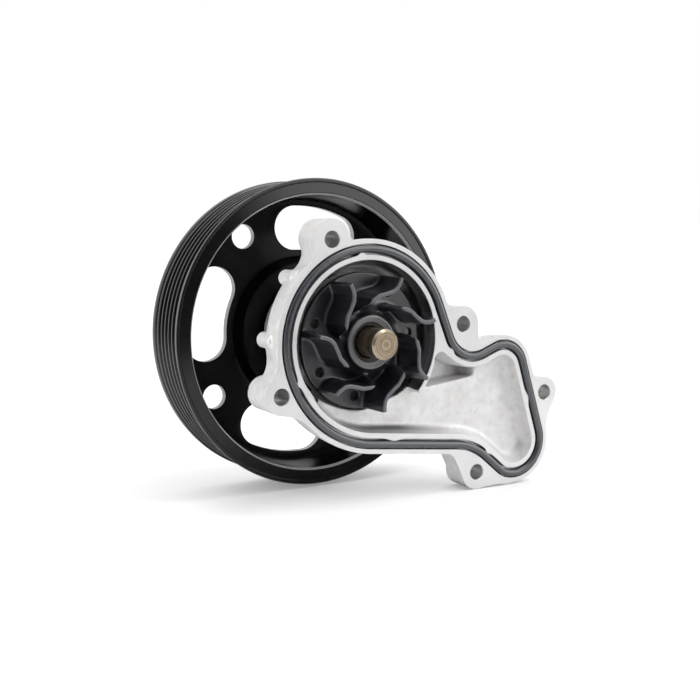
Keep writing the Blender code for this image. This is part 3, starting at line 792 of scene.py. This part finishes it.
def impeller_coat():
    """Satin blue-black coating with painted highlights: lighter grey on faces towards the mounting side
    (front edges, collar, disc face) and on outer edges.
    """
    s = Shader("impeller_coat", metallic=0.1)
    s.sheen(0.9)
    s.bump(s.noise(0.9, 3.0), 0.02, 0.5)
    base = s.mottle(6.0, (0.004, 0.004, 0.009), (0.010, 0.010, 0.018), 4.0)
    # Painted highlights: faces towards the mounting side are lighter, most on the blades' front edges and the
    # collar, less on the disc face.
    disc = s.mix(s.front_mask(DISC_FRONT - 0.5, DISC_FRONT + 0.5), base, (0.026, 0.026, 0.034))
    front_highlight = s.mix(s.front_mask(0.0, 3.0), disc, (0.085, 0.087, 0.102))
    collar = s.times(s.front_mask(0.0, 3.0), s.near_axis(HUB_R, HUB_R + 1.0))
    bright = s.mix(collar, front_highlight, (0.16, 0.16, 0.165))
    # Painted highlight: lighter grey on the outer edges.
    edge_highlight = s.mix(s.edge_mask(0.4), bright, (0.16, 0.16, 0.175))
    return s.done(edge_highlight, s.span(s.noise(2.0), 0.28, 0.40))


def turned_steel():
    """Turned shaft steel with a straw tint, concentric marks and painted highlights on its edges."""
    s = Shader("turned_steel", metallic=1.0)
    edges = s.edge_mask(0.4)
    fine = s.ring_noise(0.22)
    wide = s.ring_noise(1.1)
    s.bump(fine, 0.02, 0.6)
    base = s.mottle(2.5, (0.27, 0.20, 0.13), (0.37, 0.29, 0.20), 4.0)
    ringed = s.mix(s.span(wide, 0.0, 0.75, (0.45, 0.6)), base, (0.52, 0.44, 0.33))
    # Painted highlight: light straw colour on the outer edges.
    edge_highlight = s.mix(edges, ringed, (0.85, 0.76, 0.64))
    return s.done(edge_highlight, s.span(fine, 0.24, 0.42))


def pulley_coat():
    """Glossy black coat, slightly wavy; painted shade cuts its reflection in hollows and more on the web, and
    painted highlights lie on the groove crests and rim lips.
    """
    s = Shader("pulley_coat")
    # Painted shade in the reflection: the specular level drops in hollows and further on the web.
    open_air = s.inverse(s.hollow_mask(45.0))
    lit = s.span(open_air, 0.04, 0.50, (0.4, 0.95))
    web = s.times(s.near_axis(RIM_INNER_R + 1.45, RIM_INNER_R + 1.6),
                  s.depth_band(RIM_FRONT + 1.5, RIM_BACK + 1.0))
    s.link(s.times(lit, s.span(web, 1.0, 0.35, (0.0, 1.0))), s.shader, "Specular IOR Level")
    s.bump(s.noise(5.0, 1.0), 0.02, 0.3)
    s.bump(s.ring_noise(1.2), 0.008, 0.3)
    base = s.mottle(8.0, (0.0018, 0.0017, 0.0016), (0.004, 0.0038, 0.0036))
    # Painted highlights: lighter grey on the groove crests, the rim's outer edge and the front lip.
    outside = s.inverse(s.near_axis(GROOVE_CREST_R - 0.35, GROOVE_CREST_R - 0.1))
    grooves = s.depth_band(GROOVE_START - 0.4, GROOVE_START + GROOVES * GROOVE_PITCH + 0.4)
    crests = s.mix(s.times(outside, grooves), base, grey(0.13))
    rim_edge = s.inverse(s.near_axis(RIM_R - 0.5, RIM_R - 0.2))
    rim_edge = s.times(rim_edge, s.depth_band(RIM_FRONT - 1.0, RIM_FRONT + 2.0))
    edged = s.mix(rim_edge, crests, grey(0.16))
    lip = s.times(s.near_axis(RIM_INNER_R + 2.0, RIM_INNER_R + 2.2),
                  s.depth_band(RIM_FRONT - 1.0, RIM_FRONT + 1.6))
    lipped = s.mix(lip, edged, grey(0.40))
    return s.done(lipped, s.span(s.noise(12.0, 2.0), 0.16, 0.23))


def punched_edge():
    """Bare cut edges of the web's windows and holes."""
    s = Shader("punched_edge", metallic=0.5)
    marks = s.noise(0.4, 2.0, (1.0, 8.0, 1.0))
    s.bump(marks, 0.02, 0.5)
    base = s.mottle(3.0, (0.36, 0.37, 0.38), (0.48, 0.49, 0.50))
    return s.done(base, s.span(marks, 0.35, 0.5))


def plain_metal(name, colour, roughness, pitch_mm):
    """Ground or turned metal for the inner pieces."""
    s = Shader(name, metallic=1.0)
    rings = s.ring_noise(pitch_mm)
    s.bump(rings, 0.008, 0.5)
    darker = tuple(c * 0.82 for c in colour)
    base = s.mottle(2.0, darker, colour, 4.0)
    return s.done(base, s.span(rings, roughness * 0.8, roughness * 1.3))


def plain_soft(name, colour, roughness, grain_mm, depth_mm):
    """Rubber, moulded polymer, carbon or ceramic for the inner pieces."""
    s = Shader(name)
    grain = s.noise(grain_mm, 3.0)
    s.bump(grain, depth_mm, 0.5)
    darker = tuple(c * 0.75 for c in colour)
    base = s.mottle(1.8, darker, colour, 4.0)
    return s.done(base, s.span(grain, roughness * 0.85, roughness * 1.15))


# ---- housing ----
def lug_ties(boss, feet):
    circles = [boss] + [(*foot, 1) for foot in feet]
    middle_x = sum(c[0] for c in circles) / len(circles)
    middle_z = sum(c[1] for c in circles) / len(circles)
    circles.sort(key=lambda c: math.atan2(c[1] - middle_z, c[0] - middle_x))
    return belt(circles)


def snout_field(grid):
    """Cone and bearing snout with ribs, filleted into each other."""
    cone_slope = (CONE_R - CONE_END_R) / (CONE_END - CONE_START)
    cone_r = CONE_R - (grid.y - CONE_START) * cone_slope
    tilt = math.sqrt(1.0 + cone_slope ** 2)
    cone = common((grid.r - cone_r) / tilt, plate(grid.r - CONE_R, grid.y, 8.0, CONE_END + 0.5, 0.5), 1.0)
    snout = plate(grid.r - SNOUT_R, grid.y, 8.0, SNOUT_END, 0.6)
    shape = join(cone, snout, 4.0)
    for number in range(RIBS):
        angle = math.radians(FIRST_RIB + 360.0 * number / RIBS)
        out_x, out_z = polar(1.0, angle)
        outward = grid.x * out_x + grid.z * out_z
        across = np.abs(grid.x * -out_z + grid.z * out_x) - RIB_HALF
        lean = (outward - CONE_R) * RIB_SLOPE[0] + (grid.y - (CONE_START + 0.5)) * RIB_SLOPE[1]
        reach = np.maximum(np.maximum(grid.y - RIB_END, 9.0 - grid.y), 10.0 - outward)
        rib = common(common(across, lean, 0.8), reach, 1.0)
        shape = join(shape, rib, 2.2)
    return shape


def casting_field(grid):
    """The outside of the casting, still with stock in front of the mounting face."""
    track = outline_field(belt(SEAL_TRACK), grid.x, grid.z)
    flat = track - FLANGE_EDGE
    for (x, z), boss_r, _, feet in LUGS:
        ties = outline_field(lug_ties((x, z, boss_r, 1), feet), grid.x, grid.z)
        flat = join(flat, ties, 3.0)
    draft = np.clip(grid.y - 2.0, 0.0, None) * CAST_DRAFT
    body = plate(flat + draft, grid.y, -CAST_STOCK, FLANGE_DEPTH, 0.9)
    for (x, z), boss_r, depth, _ in LUGS:
        boss = plate(disc_flat(grid, x, z, boss_r - 0.1), grid.y, -CAST_STOCK, depth, 0.5)
        body = join(body, boss, 1.2)
    body = join(body, snout_field(grid), 3.0)
    pad = outline_field(belt(RECESS_CORNERS), grid.x, grid.z) - RECESS_WALL
    body = join(body, plate(pad, grid.y, 8.0, RECESS_FLOOR + RECESS_WALL, 1.0), 1.5)
    for x, z in EJECTOR_POSTS:
        post = plate(disc_flat(grid, x, z, EJECTOR_POST_R), grid.y, 6.0, EJECTOR_POST_END, 0.5)
        body = join(body, post, 1.0)
    return body, track


def volute_share(grid):
    """0 before the spiral channel starts, rising to 1 where it is as deep as the chamber."""
    share = np.clip((grid.turn - VOLUTE_START) / VOLUTE_RAMP, 0.0, 1.0)
    return share * share * (3 - 2 * share)


def chamber_field(grid, track):
    """The outlet chamber and the spiral channel that ramps down to it, kept off the cutwater."""
    right = np.clip((grid.x - CHAMBER_LEAN_X) / CHAMBER_LEAN_SPAN, 0.0, 1.0)
    slope = CHAMBER_SLOPES[0] + CHAMBER_SLOPES[1] * right
    wall = (track - OPENING_EDGE) + np.clip(grid.y, 0.0, None) * slope
    floor = CHAMBER_FLOOR * volute_share(grid)
    space = common(wall, grid.y - floor, 3.2)
    beyond = grid.r * np.sin(np.clip(CUTWATER_TURN - grid.turn, -1.2, 1.2))
    kept = np.maximum(grid.r - CUTWATER_R, beyond)
    bridge = np.maximum(BRIDGE_Z - grid.z, grid.x - BRIDGE_X)
    return remove(space, join(kept, bridge, 1.0), 1.0)


def pocket_field(grid):
    """The impeller's pocket: conical, and straight where the volute and the chamber are open to it."""
    after_cutwater = np.clip((grid.turn - CUTWATER_TURN) / CUTWATER_RAMP + 1.0, 0.0, 1.0)
    share = np.maximum(1.0 - volute_share(grid), after_cutwater)
    slope = (POCKET_MOUTH_R - POCKET_FLOOR_R) / POCKET_FLOOR
    radius = POCKET_FLOOR_R + share * slope * (POCKET_FLOOR - np.maximum(grid.y, 0.0))
    return common(grid.r - radius, grid.y - POCKET_FLOOR, 1.6)


def recess_field(grid, track):
    """The blind recess beside the cutwater."""
    corner = outline_field(belt(RECESS_CORNERS), grid.x, grid.z) + (np.maximum(grid.y, 0.0) - 7.0) * 0.06
    limited = common(corner, track - OPENING_EDGE + 0.6, 1.0)
    return common(limited, grid.y - RECESS_FLOOR, 1.8)


def gasket_groove():
    """The seal groove's cutter; in a few places its inner wall bulges to grip the gasket."""
    inner = np.asarray(denser(belt(SEAL_TRACK, GROOVE_INNER), 8))
    outer = np.asarray(denser(belt(SEAL_TRACK, GROOVE_OUTER), 8))
    across = (outer - inner) / np.linalg.norm(outer - inner, axis=1)[:, None]
    for grip in GRIPS:
        spot = inner[np.argmin(np.linalg.norm(inner - grip, axis=1))].copy()
        away = np.linalg.norm(inner - spot, axis=1)
        inner = inner + across * (GRIP_REACH * np.exp(-(away / GRIP_WIDTH) ** 2))[:, None]
    corners = ((inner, -1.0), (outer, -1.0), (outer, GROOVE_DEPTH), (inner, GROOVE_DEPTH))
    return tube_of("cutter_groove", [at_depth(ring, y) for ring, y in corners])


def make_housing(finishes):
    grid = Grid((-49.0, -4.5, -69.0), (101.0, 52.0, 52.0), CAST_STEP)
    body, track = casting_field(grid)
    body = remove(body, chamber_field(grid, track), 0.5)
    body = remove(body, pocket_field(grid), 0.6)
    body = remove(body, recess_field(grid, track), 0.7)
    obj = field_mesh("pump_housing", body, grid)
    stock = [(-60, -80), (110, -80), (110, 60), (-60, 60)]
    face = prisms("cutter_face", [stock], ((-9.0, 1.0), (0.0, 1.0)))
    bore = turned("cutter_bore", (
        (0.0, POCKET_FLOOR - 2.0), (SEAL_BORE_R + 0.4, POCKET_FLOOR - 2.0),
        (SEAL_BORE_R + 0.4, POCKET_FLOOR), (SEAL_BORE_R, POCKET_FLOOR + 0.4),
        (SEAL_BORE_R, SEAL_BORE_END), (BEARING_SHOULDER_R, SEAL_BORE_END),
        (BEARING_SHOULDER_R, BEARING_START), (BEARING_SEAT_R, BEARING_START),
        (BEARING_SEAT_R, SNOUT_END - 0.5), (BEARING_SEAT_R + 1.0, SNOUT_END + 0.5), (0.0, SNOUT_END + 0.5)))
    end = turned("cutter_snout_end", (
        (0.0, SNOUT_FACE), (30.0, SNOUT_FACE), (30.0, SNOUT_END + 2.0), (0.0, SNOUT_END + 2.0)))
    holes = [circle(*lug[0], HOLE_R) for lug in LUGS]
    bolts = prisms("cutter_bolt_holes", holes, ((-1.0, 1.25), (0.0, 1.06), (0.25, 1.0), (30.0, 1.0)))
    weep = [(x, WEEP_Y + y, -9.0) for x, y in circle(0.0, 0.0, WEEP_R, 24)]
    weep_end = [(x, y, -40.0) for x, y, _ in weep]
    drain = face_outwards(new_object("cutter_weep", *loft((weep, weep_end))))
    cut(obj, face, gasket_groove(), bore, end, bolts, drain)
    smooth(obj, 30.0)
    finish_faces(obj, finishes)
    return obj


def finish_faces(obj, finishes):
    """Give the milled planes, the bolt holes and the turned bores their own finishes."""
    dress(obj, *finishes)
    planes = [(y + FACE_Y) * MM for y in (0.0, GROOVE_DEPTH, SNOUT_FACE)]
    cast, milled, dull, bored = range(4)
    hole_r = (HOLE_R + 0.3) * MM
    holes = [(lug[0][0] * MM, lug[0][1] * MM) for lug in LUGS]
    for face in obj.data.polygons:
        centre = face.center
        radius = math.hypot(centre.x, centre.z) / MM
        depth = centre.y / MM - FACE_Y
        inwards = -(face.normal.x * centre.x + face.normal.z * centre.z) / (radius * MM)
        turn = math.atan2(centre.z, centre.x)
        in_volute = VOLUTE_START + VOLUTE_RAMP * 0.4 < turn < CUTWATER_TURN - CUTWATER_RAMP * 0.7
        finish = cast
        if abs(face.normal.y) > 0.999 and any(abs(centre.y - y) < 2e-5 for y in planes):
            finish = milled
            face.use_smooth = False
        elif any(math.hypot(centre.x - x, centre.z - z) < hole_r for x, z in holes):
            finish = dull
        elif radius < SEAL_BORE_R + 0.3:
            finish = bored
        elif radius < POCKET_MOUTH_R and 0.4 < depth < POCKET_FLOOR and inwards > 0.35 and not in_volute:
            finish = bored
        face.material_index = finish


# ---- gasket ----
def make_gasket():
    """Moulded rubber ring with a domed top."""
    half = GASKET_HALF
    low = GROOVE_DEPTH - GAP
    section = [(-half, low), (-half, 0.4)]
    for k in range(13):
        angle = math.radians(165.0 - 150.0 * k / 12)
        bulge = math.sin(angle) ** 0.8
        section.append((half * math.cos(angle), 0.35 - (GASKET_PROUD + 0.35) * bulge))
    section += [(half, 0.4), (half, low)]
    columns = [at_depth(belt(SEAL_TRACK, GASKET_MIDDLE + offset), y) for offset, y in section]
    return smooth(tube_of("gasket_ring", columns), 50.0)


# ---- rotor ----
def make_shaft():
    corners = [(0.0, SHAFT_TIP), (SHAFT_NOSE_R - 0.9, SHAFT_TIP), (SHAFT_NOSE_R, SHAFT_TIP + 0.9),
               (SHAFT_NOSE_R, SHAFT_STEP), (SHAFT_R, SHAFT_STEP + 0.6), (SHAFT_R, SHAFT_END - 0.8),
               (SHAFT_R - 0.8, SHAFT_END), (0.0, SHAFT_END)]
    return smooth(turned("pump_shaft", corners, 96), 25.0)


def make_impeller():
    """Hub, disc and blades as one field, with fillets at the blades' feet."""
    reach = DISC_R + 1.5
    grid = Grid((-reach, BLADE_FRONT - 1.5, -reach), (reach, DISC_BACK + 1.5, reach), IMPELLER_STEP)
    disc = plate(grid.r - DISC_R, grid.y, DISC_FRONT, DISC_BACK, 0.45)
    hub = plate(grid.r - HUB_R, grid.y, HUB_FRONT, DISC_BACK, 0.9)
    flare = (grid.r - HUB_R - (grid.y - HUB_CONE_FRONT) * HUB_CONE_SLOPE) / math.hypot(1.0, HUB_CONE_SLOPE)
    cone = common(flare, np.maximum(HUB_CONE_FRONT - grid.y, grid.y - DISC_FRONT - 1.0), 0.3)
    body = join(disc, join(hub, cone, 1.2), 2.5)
    flat = np.full(np.broadcast(grid.x, grid.z).shape, 1e9, np.float32)
    for k in range(BLADES):
        phase = FIRST_BLADE + math.tau * k / BLADES
        line = [polar(radius, phase + math.radians(turn)) for radius, turn in BLADE_LINE]
        flat = np.minimum(flat, line_field(line, grid.x, grid.z))
    half = BLADE_HALF + (grid.y - BLADE_FRONT) * BLADE_DRAFT
    blades = common(flat - half, BLADE_FRONT - grid.y, 0.35)
    eye_r = EYE_R - (grid.y - BLADE_FRONT) * EYE_SLOPE
    blades = common(blades, (eye_r - grid.r) * 0.95, 0.6)
    blades = np.maximum(blades, grid.y - DISC_FRONT - 1.0)
    blades = np.maximum(blades, grid.r - DISC_R)
    body = join(body, blades, 1.3)
    radius, turn, hole_r = BALANCE_HOLE
    for k in range(BLADES):
        x, z = polar(radius, FIRST_BLADE + math.tau * k / BLADES + turn)
        body = remove(body, disc_flat(grid, x, z, hole_r), 0.3)
    obj = field_mesh("pump_impeller", body, grid)
    bore_r = SHAFT_NOSE_R + GAP
    steps = ((0.0, HUB_FRONT - 2.0), (9.8, HUB_FRONT - 2.0), (9.8, HUB_FRONT + 0.5),
             (9.0, HUB_FRONT + 0.5), (9.0, HUB_FRONT + 0.9), (8.2, HUB_FRONT + 0.9),
             (8.0, HUB_FRONT + 1.3), (bore_r + 0.3, HUB_FRONT + 2.0), (bore_r, HUB_FRONT + 2.5),
             (bore_r, DISC_BACK + 2.0), (0.0, DISC_BACK + 2.0))
    return smooth(cut(obj, turned("cutter_hub_bore", steps, 96)), 40.0)


def rim_profile():
    """Outline of the pulley in (radius, y), starting at the front flange and running backwards."""
    web_back = WEB_FRONT + WEB_THICK
    dish_front = WEB_FRONT - DISH_LIFT
    points = [(RIM_INNER_R + 1.3, RIM_FRONT + 2.6), (RIM_INNER_R + 1.4, RIM_FRONT + 1.0),
              (RIM_INNER_R + 1.9, RIM_FRONT + 0.2), (RIM_INNER_R + 2.5, RIM_FRONT),
              (RIM_R - 1.9, RIM_FRONT + 0.75), (RIM_R - 1.6, RIM_FRONT + 0.5),
              (RIM_R - 0.8, RIM_FRONT + 0.45), (RIM_R - 0.2, RIM_FRONT + 0.6),
              (RIM_R, RIM_FRONT + 0.9), (RIM_R - 0.1, RIM_FRONT + 1.3)]
    flank = (GROOVE_PITCH / 2 - 0.28) / (GROOVE_CREST_R - GROOVE_ROOT_R)
    points.append((GROOVE_CREST_R, GROOVE_START - 0.2))
    for k in range(GROOVES):
        centre = GROOVE_START + GROOVE_PITCH * (k + 0.5)
        for side in (-1, 1):
            radii = [GROOVE_CREST_R, GROOVE_CREST_R - 0.12, GROOVE_ROOT_R + 0.25, GROOVE_ROOT_R]
            if side > 0:
                radii.reverse()
            for radius in radii:
                away = 0.12 + (radius - GROOVE_ROOT_R) * flank
                points.append((radius, centre + side * away))
    points += [(GROOVE_CREST_R, GROOVE_START + GROOVE_PITCH * GROOVES + 0.2),
               (RIM_BACK_R - 0.15, RIM_BACK - 3.7), (RIM_BACK_R, RIM_BACK - 3.2),
               (RIM_BACK_R, RIM_BACK - 0.9), (RIM_BACK_R - 0.3, RIM_BACK - 0.3),
               (RIM_BACK_R - 0.9, RIM_BACK), (RIM_INNER_R + 1.6, RIM_BACK),
               (RIM_INNER_R + 0.4, RIM_BACK - 0.5), (RIM_INNER_R, RIM_BACK - 1.6),
               (RIM_INNER_R, web_back + 1.8), (RIM_INNER_R - 0.6, web_back + 0.5),
               (RIM_INNER_R - 1.8, web_back), (DISH_R + 2.0, web_back), (DISH_R + 0.5, web_back - 0.5),
               (DISH_R - 2.5, dish_front + WEB_THICK + 0.5), (DISH_R - 4.0, dish_front + WEB_THICK),
               (HUB_BOSS_R + GAP, dish_front + WEB_THICK), (HUB_BOSS_R + GAP, dish_front),
               (DISH_R - 5.5, dish_front), (DISH_R - 3.8, dish_front + 0.6), (DISH_R - 1.0, WEB_FRONT - 0.6),
               (DISH_R + 0.8, WEB_FRONT), (RIM_INNER_R - 2.4, WEB_FRONT),
               (RIM_INNER_R - 0.7, WEB_FRONT - 0.6), (RIM_INNER_R - 0.1, WEB_FRONT - 2.2)]
    return points


def window_outline(angle):
    """A bean-shaped window in the web: two arcs about the shaft axis joined by round ends."""
    first = polar(WINDOW_R, angle - WINDOW_SWEEP)
    last = polar(WINDOW_R, angle + WINDOW_SWEEP)
    slack = 0.03
    inner = WINDOW_R - WINDOW_HALF - slack
    outer = WINDOW_R + WINDOW_HALF - slack
    circles = ((*first, WINDOW_HALF, 1), (0.0, 0.0, outer, 1), (*last, WINDOW_HALF, 1), (0.0, 0.0, inner, -1))
    return belt(circles)


def make_pulley(coat, punched):
    pulley = turned("belt_pulley", rim_profile(), 256)
    quarter = math.tau / 4
    outlines = [window_outline(WINDOW_FIRST + quarter * k) for k in range(4)]
    for k in range(4):
        spot = polar(SPOKE_HOLE_PITCH_R, SPOKE_HOLE_FIRST + quarter * k)
        outlines.append(circle(*spot, SPOKE_HOLE_R, 64))
    windows = prisms("cutter_windows", outlines, ((WEB_FRONT - 3.0, 1.0), (WEB_FRONT + WEB_THICK + 3.0, 1.0)))
    smooth(cut(pulley, windows), 28.0)
    dress(pulley, coat, punched)
    for face in pulley.data.polygons:
        centre = face.center
        depth = centre.y / MM - FACE_Y - WEB_FRONT
        on_web = 0.01 < depth < WEB_THICK - 0.01 and math.hypot(centre.x, centre.z) < (RIM_INNER_R - 1.0) * MM
        face.material_index = 1 if on_web and abs(face.normal.y) < 0.01 else 0
    return pulley


def make_pulley_hub():
    seat = WEB_FRONT - DISH_LIFT + WEB_THICK + GAP
    bore = SHAFT_R + GAP
    back = seat + 3.2
    end = SHAFT_END - 0.3
    corners = [(bore, PULLEY_HUB_FRONT), (HUB_BOSS_R, PULLEY_HUB_FRONT), (HUB_BOSS_R, seat),
               (HUB_FLANGE_R, seat), (HUB_FLANGE_R, back), (HUB_BOSS_R + 2.4, back),
               (HUB_BOSS_R + 1.0, end), (bore, end)]
    radii = {1: 0.6, 3: 0.3, 4: 0.7, 5: 0.8, 6: 0.5}
    return smooth(turned("pulley_hub_disc", rounded(corners, radii), 144), 28.0)


# ---- assembly ----
def place(piece, node, body, slot, mat=None):
    if mat is not None:
        dress(piece, mat)
    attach(piece, body)
    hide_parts(node)


def dress_inner_nodes(mats):
    """Inner pieces keep their CAD shape and get their slot's material."""
    for entry in frame["record"]["subparts"]:
        dress(frame["nodes"][entry["node"]], mats[entry["material_slot"]])


def build_pump():
    mats = {
        "cast_aluminium": cast_aluminium(),
        "gasket_rubber": gasket_rubber(),
        "impeller_coat": impeller_coat(),
        "shaft_steel": turned_steel(),
        "pulley_coat": pulley_coat(),
    }
    mats.update({name: plain_metal(name, *look) for name, look in PLAIN_METALS.items()})
    mats.update({name: plain_soft(name, *look) for name, look in PLAIN_SOFTS.items()})
    dress_inner_nodes(mats)
    finishes = (mats["cast_aluminium"], milled_aluminium(), dull_aluminium(), bored_aluminium())
    place(make_housing(finishes), "housing", "housing", "cast_aluminium")
    place(make_gasket(), "gasket", "housing", "gasket_rubber", mats["gasket_rubber"])
    place(make_shaft(), "shaft", "rotor", "shaft_steel", mats["shaft_steel"])
    place(make_impeller(), "impeller", "rotor", "impeller_coat", mats["impeller_coat"])
    place(make_pulley(mats["pulley_coat"], punched_edge()), "pulley", "rotor", "pulley_coat")
    place(make_pulley_hub(), "pulley_hub", "rotor", "hub_steel", mats["hub_steel"])


# ---- studio ----
# Each part of the room: direction from the object, cosines where it begins and is full, its level.
DARK_ROOM = ((-0.45, -0.89, -0.10), 0.50, 0.75, 0.10)
BRIGHT_PANEL = ((0.78, -0.60, 0.25), 0.80, 0.92, 2.3)
STUDIO_LEVEL = 0.95
FLOOR_GLOW = 0.2
FLOOR_SIDE = 6.0
FLOOR_GAP = 0.0004
PAPER_END_Y = (-0.38, -0.20)               # the white paper ends here; the camera still sees it white
# Each softbox: offset from the object's middle and size, both in metres, and power in watts.
KEY_SOFTBOX = ((0.22, -0.2, 0.85), (0.35, 0.35), 1.4)
LEFT_SOFTBOX = ((-0.75, 0.18, 0.22), (0.4, 0.5), 1.6)
CAMERA_PLACE = (-0.25267, -0.39793, 0.05278)     # metres, with y from the mounting face
CAMERA_LOOK = (0.5192, 0.8465, -0.1181)
CAMERA_LENS = 61.71


def softbox(name, middle, offset, size, power):
    data = bpy.data.lights.new(name, "AREA")
    data.shape = "RECTANGLE"
    data.size, data.size_y = size
    data.energy = power
    light = add(name, data)
    light.location = middle + Vector(offset)
    light.rotation_euler = (middle - light.location).to_track_quat("-Z", "Y").to_euler()


def build_world():
    """A white studio with a dark room behind the camera and a bright panel at its right."""
    world = bpy.data.worlds.new("studio")
    room = Graph(world)
    coords = room.node("TexCoord").outputs["Generated"]
    level = None
    for direction, begin, full, target in (DARK_ROOM, BRIGHT_PANEL):
        dot = room.node("VectorMath")
        dot.operation = "DOT_PRODUCT"
        dot.inputs[1].default_value = Vector(direction).normalized()
        room.link(coords, dot, 0)
        fade = room.node("MapRange", From_Min=begin, From_Max=full, To_Min=STUDIO_LEVEL, To_Max=target)
        fade.interpolation_type = "SMOOTHSTEP"
        room.link(dot.outputs["Value"], fade, "Value")
        if level is not None:
            room.link(level, fade, "To Min")
        level = fade.outputs[0]
    seen = room.node("Mix")
    seen.inputs[3].default_value = 1.0
    room.link(room.node("LightPath").outputs["Is Camera Ray"], seen, "Factor")
    room.link(level, seen, 2)
    background = room.nodes["Background"]
    room.link(seen.outputs[0], background, "Strength")
    background.inputs["Color"].default_value = (1.0, 1.0, 1.0, 1.0)
    bpy.context.scene.world = world


def pale_floor():
    """White paper that ends in front of the object; the camera sees it white and glowing throughout."""
    s = Shader("pale_floor")
    seen = s.node("LightPath").outputs["Is Camera Ray"]
    s.shader.inputs["Emission Color"].default_value = (1.0, 1.0, 1.0, 1.0)
    s.link(s.times(seen, FLOOR_GLOW), s.shader, "Emission Strength")
    paper = s.span(s.split(s.coords)["Y"], 0.0, 1.0, PAPER_END_Y)
    white = s.mottle(120.0, grey(0.93), grey(0.95))
    shown = s.maths("MAXIMUM", paper, seen)
    return s.done(s.mix(shown, grey(0.05), white), s.span(s.noise(60.0), 0.6, 0.7))


def build_studio():
    build_world()
    bpy.context.scene.view_settings.view_transform = "Standard"
    floor_z = CAD_BOX[0].z - FLOOR_GAP
    corners = ((-FLOOR_SIDE, -FLOOR_SIDE), (FLOOR_SIDE, -FLOOR_SIDE), (FLOOR_SIDE, FLOOR_SIDE),
               (-FLOOR_SIDE, FLOOR_SIDE))
    floor = add("floor", mesh_of("floor", [(x, y, floor_z) for x, y in corners], [(0, 1, 2, 3)]))
    dress(floor, pale_floor())
    middle = (CAD_BOX[0] + CAD_BOX[1]) / 2
    softbox("key_softbox", middle, *KEY_SOFTBOX)
    softbox("left_softbox", middle, *LEFT_SOFTBOX)


def build_camera():
    """The camera stands in front of the impeller side, to its left and a little above the shaft."""
    data = bpy.data.cameras.new("camera")
    data.sensor_width = 36.0
    data.lens = CAMERA_LENS
    data.clip_start = 0.01
    camera = add("camera", data)
    x, y, z = CAMERA_PLACE
    camera.location = (x, y + FACE_Y * MM, z)
    camera.rotation_euler = Vector(CAMERA_LOOK).to_track_quat("-Z", "Y").to_euler()
    bpy.context.scene.camera = camera


build_pump()
build_studio()
build_camera()
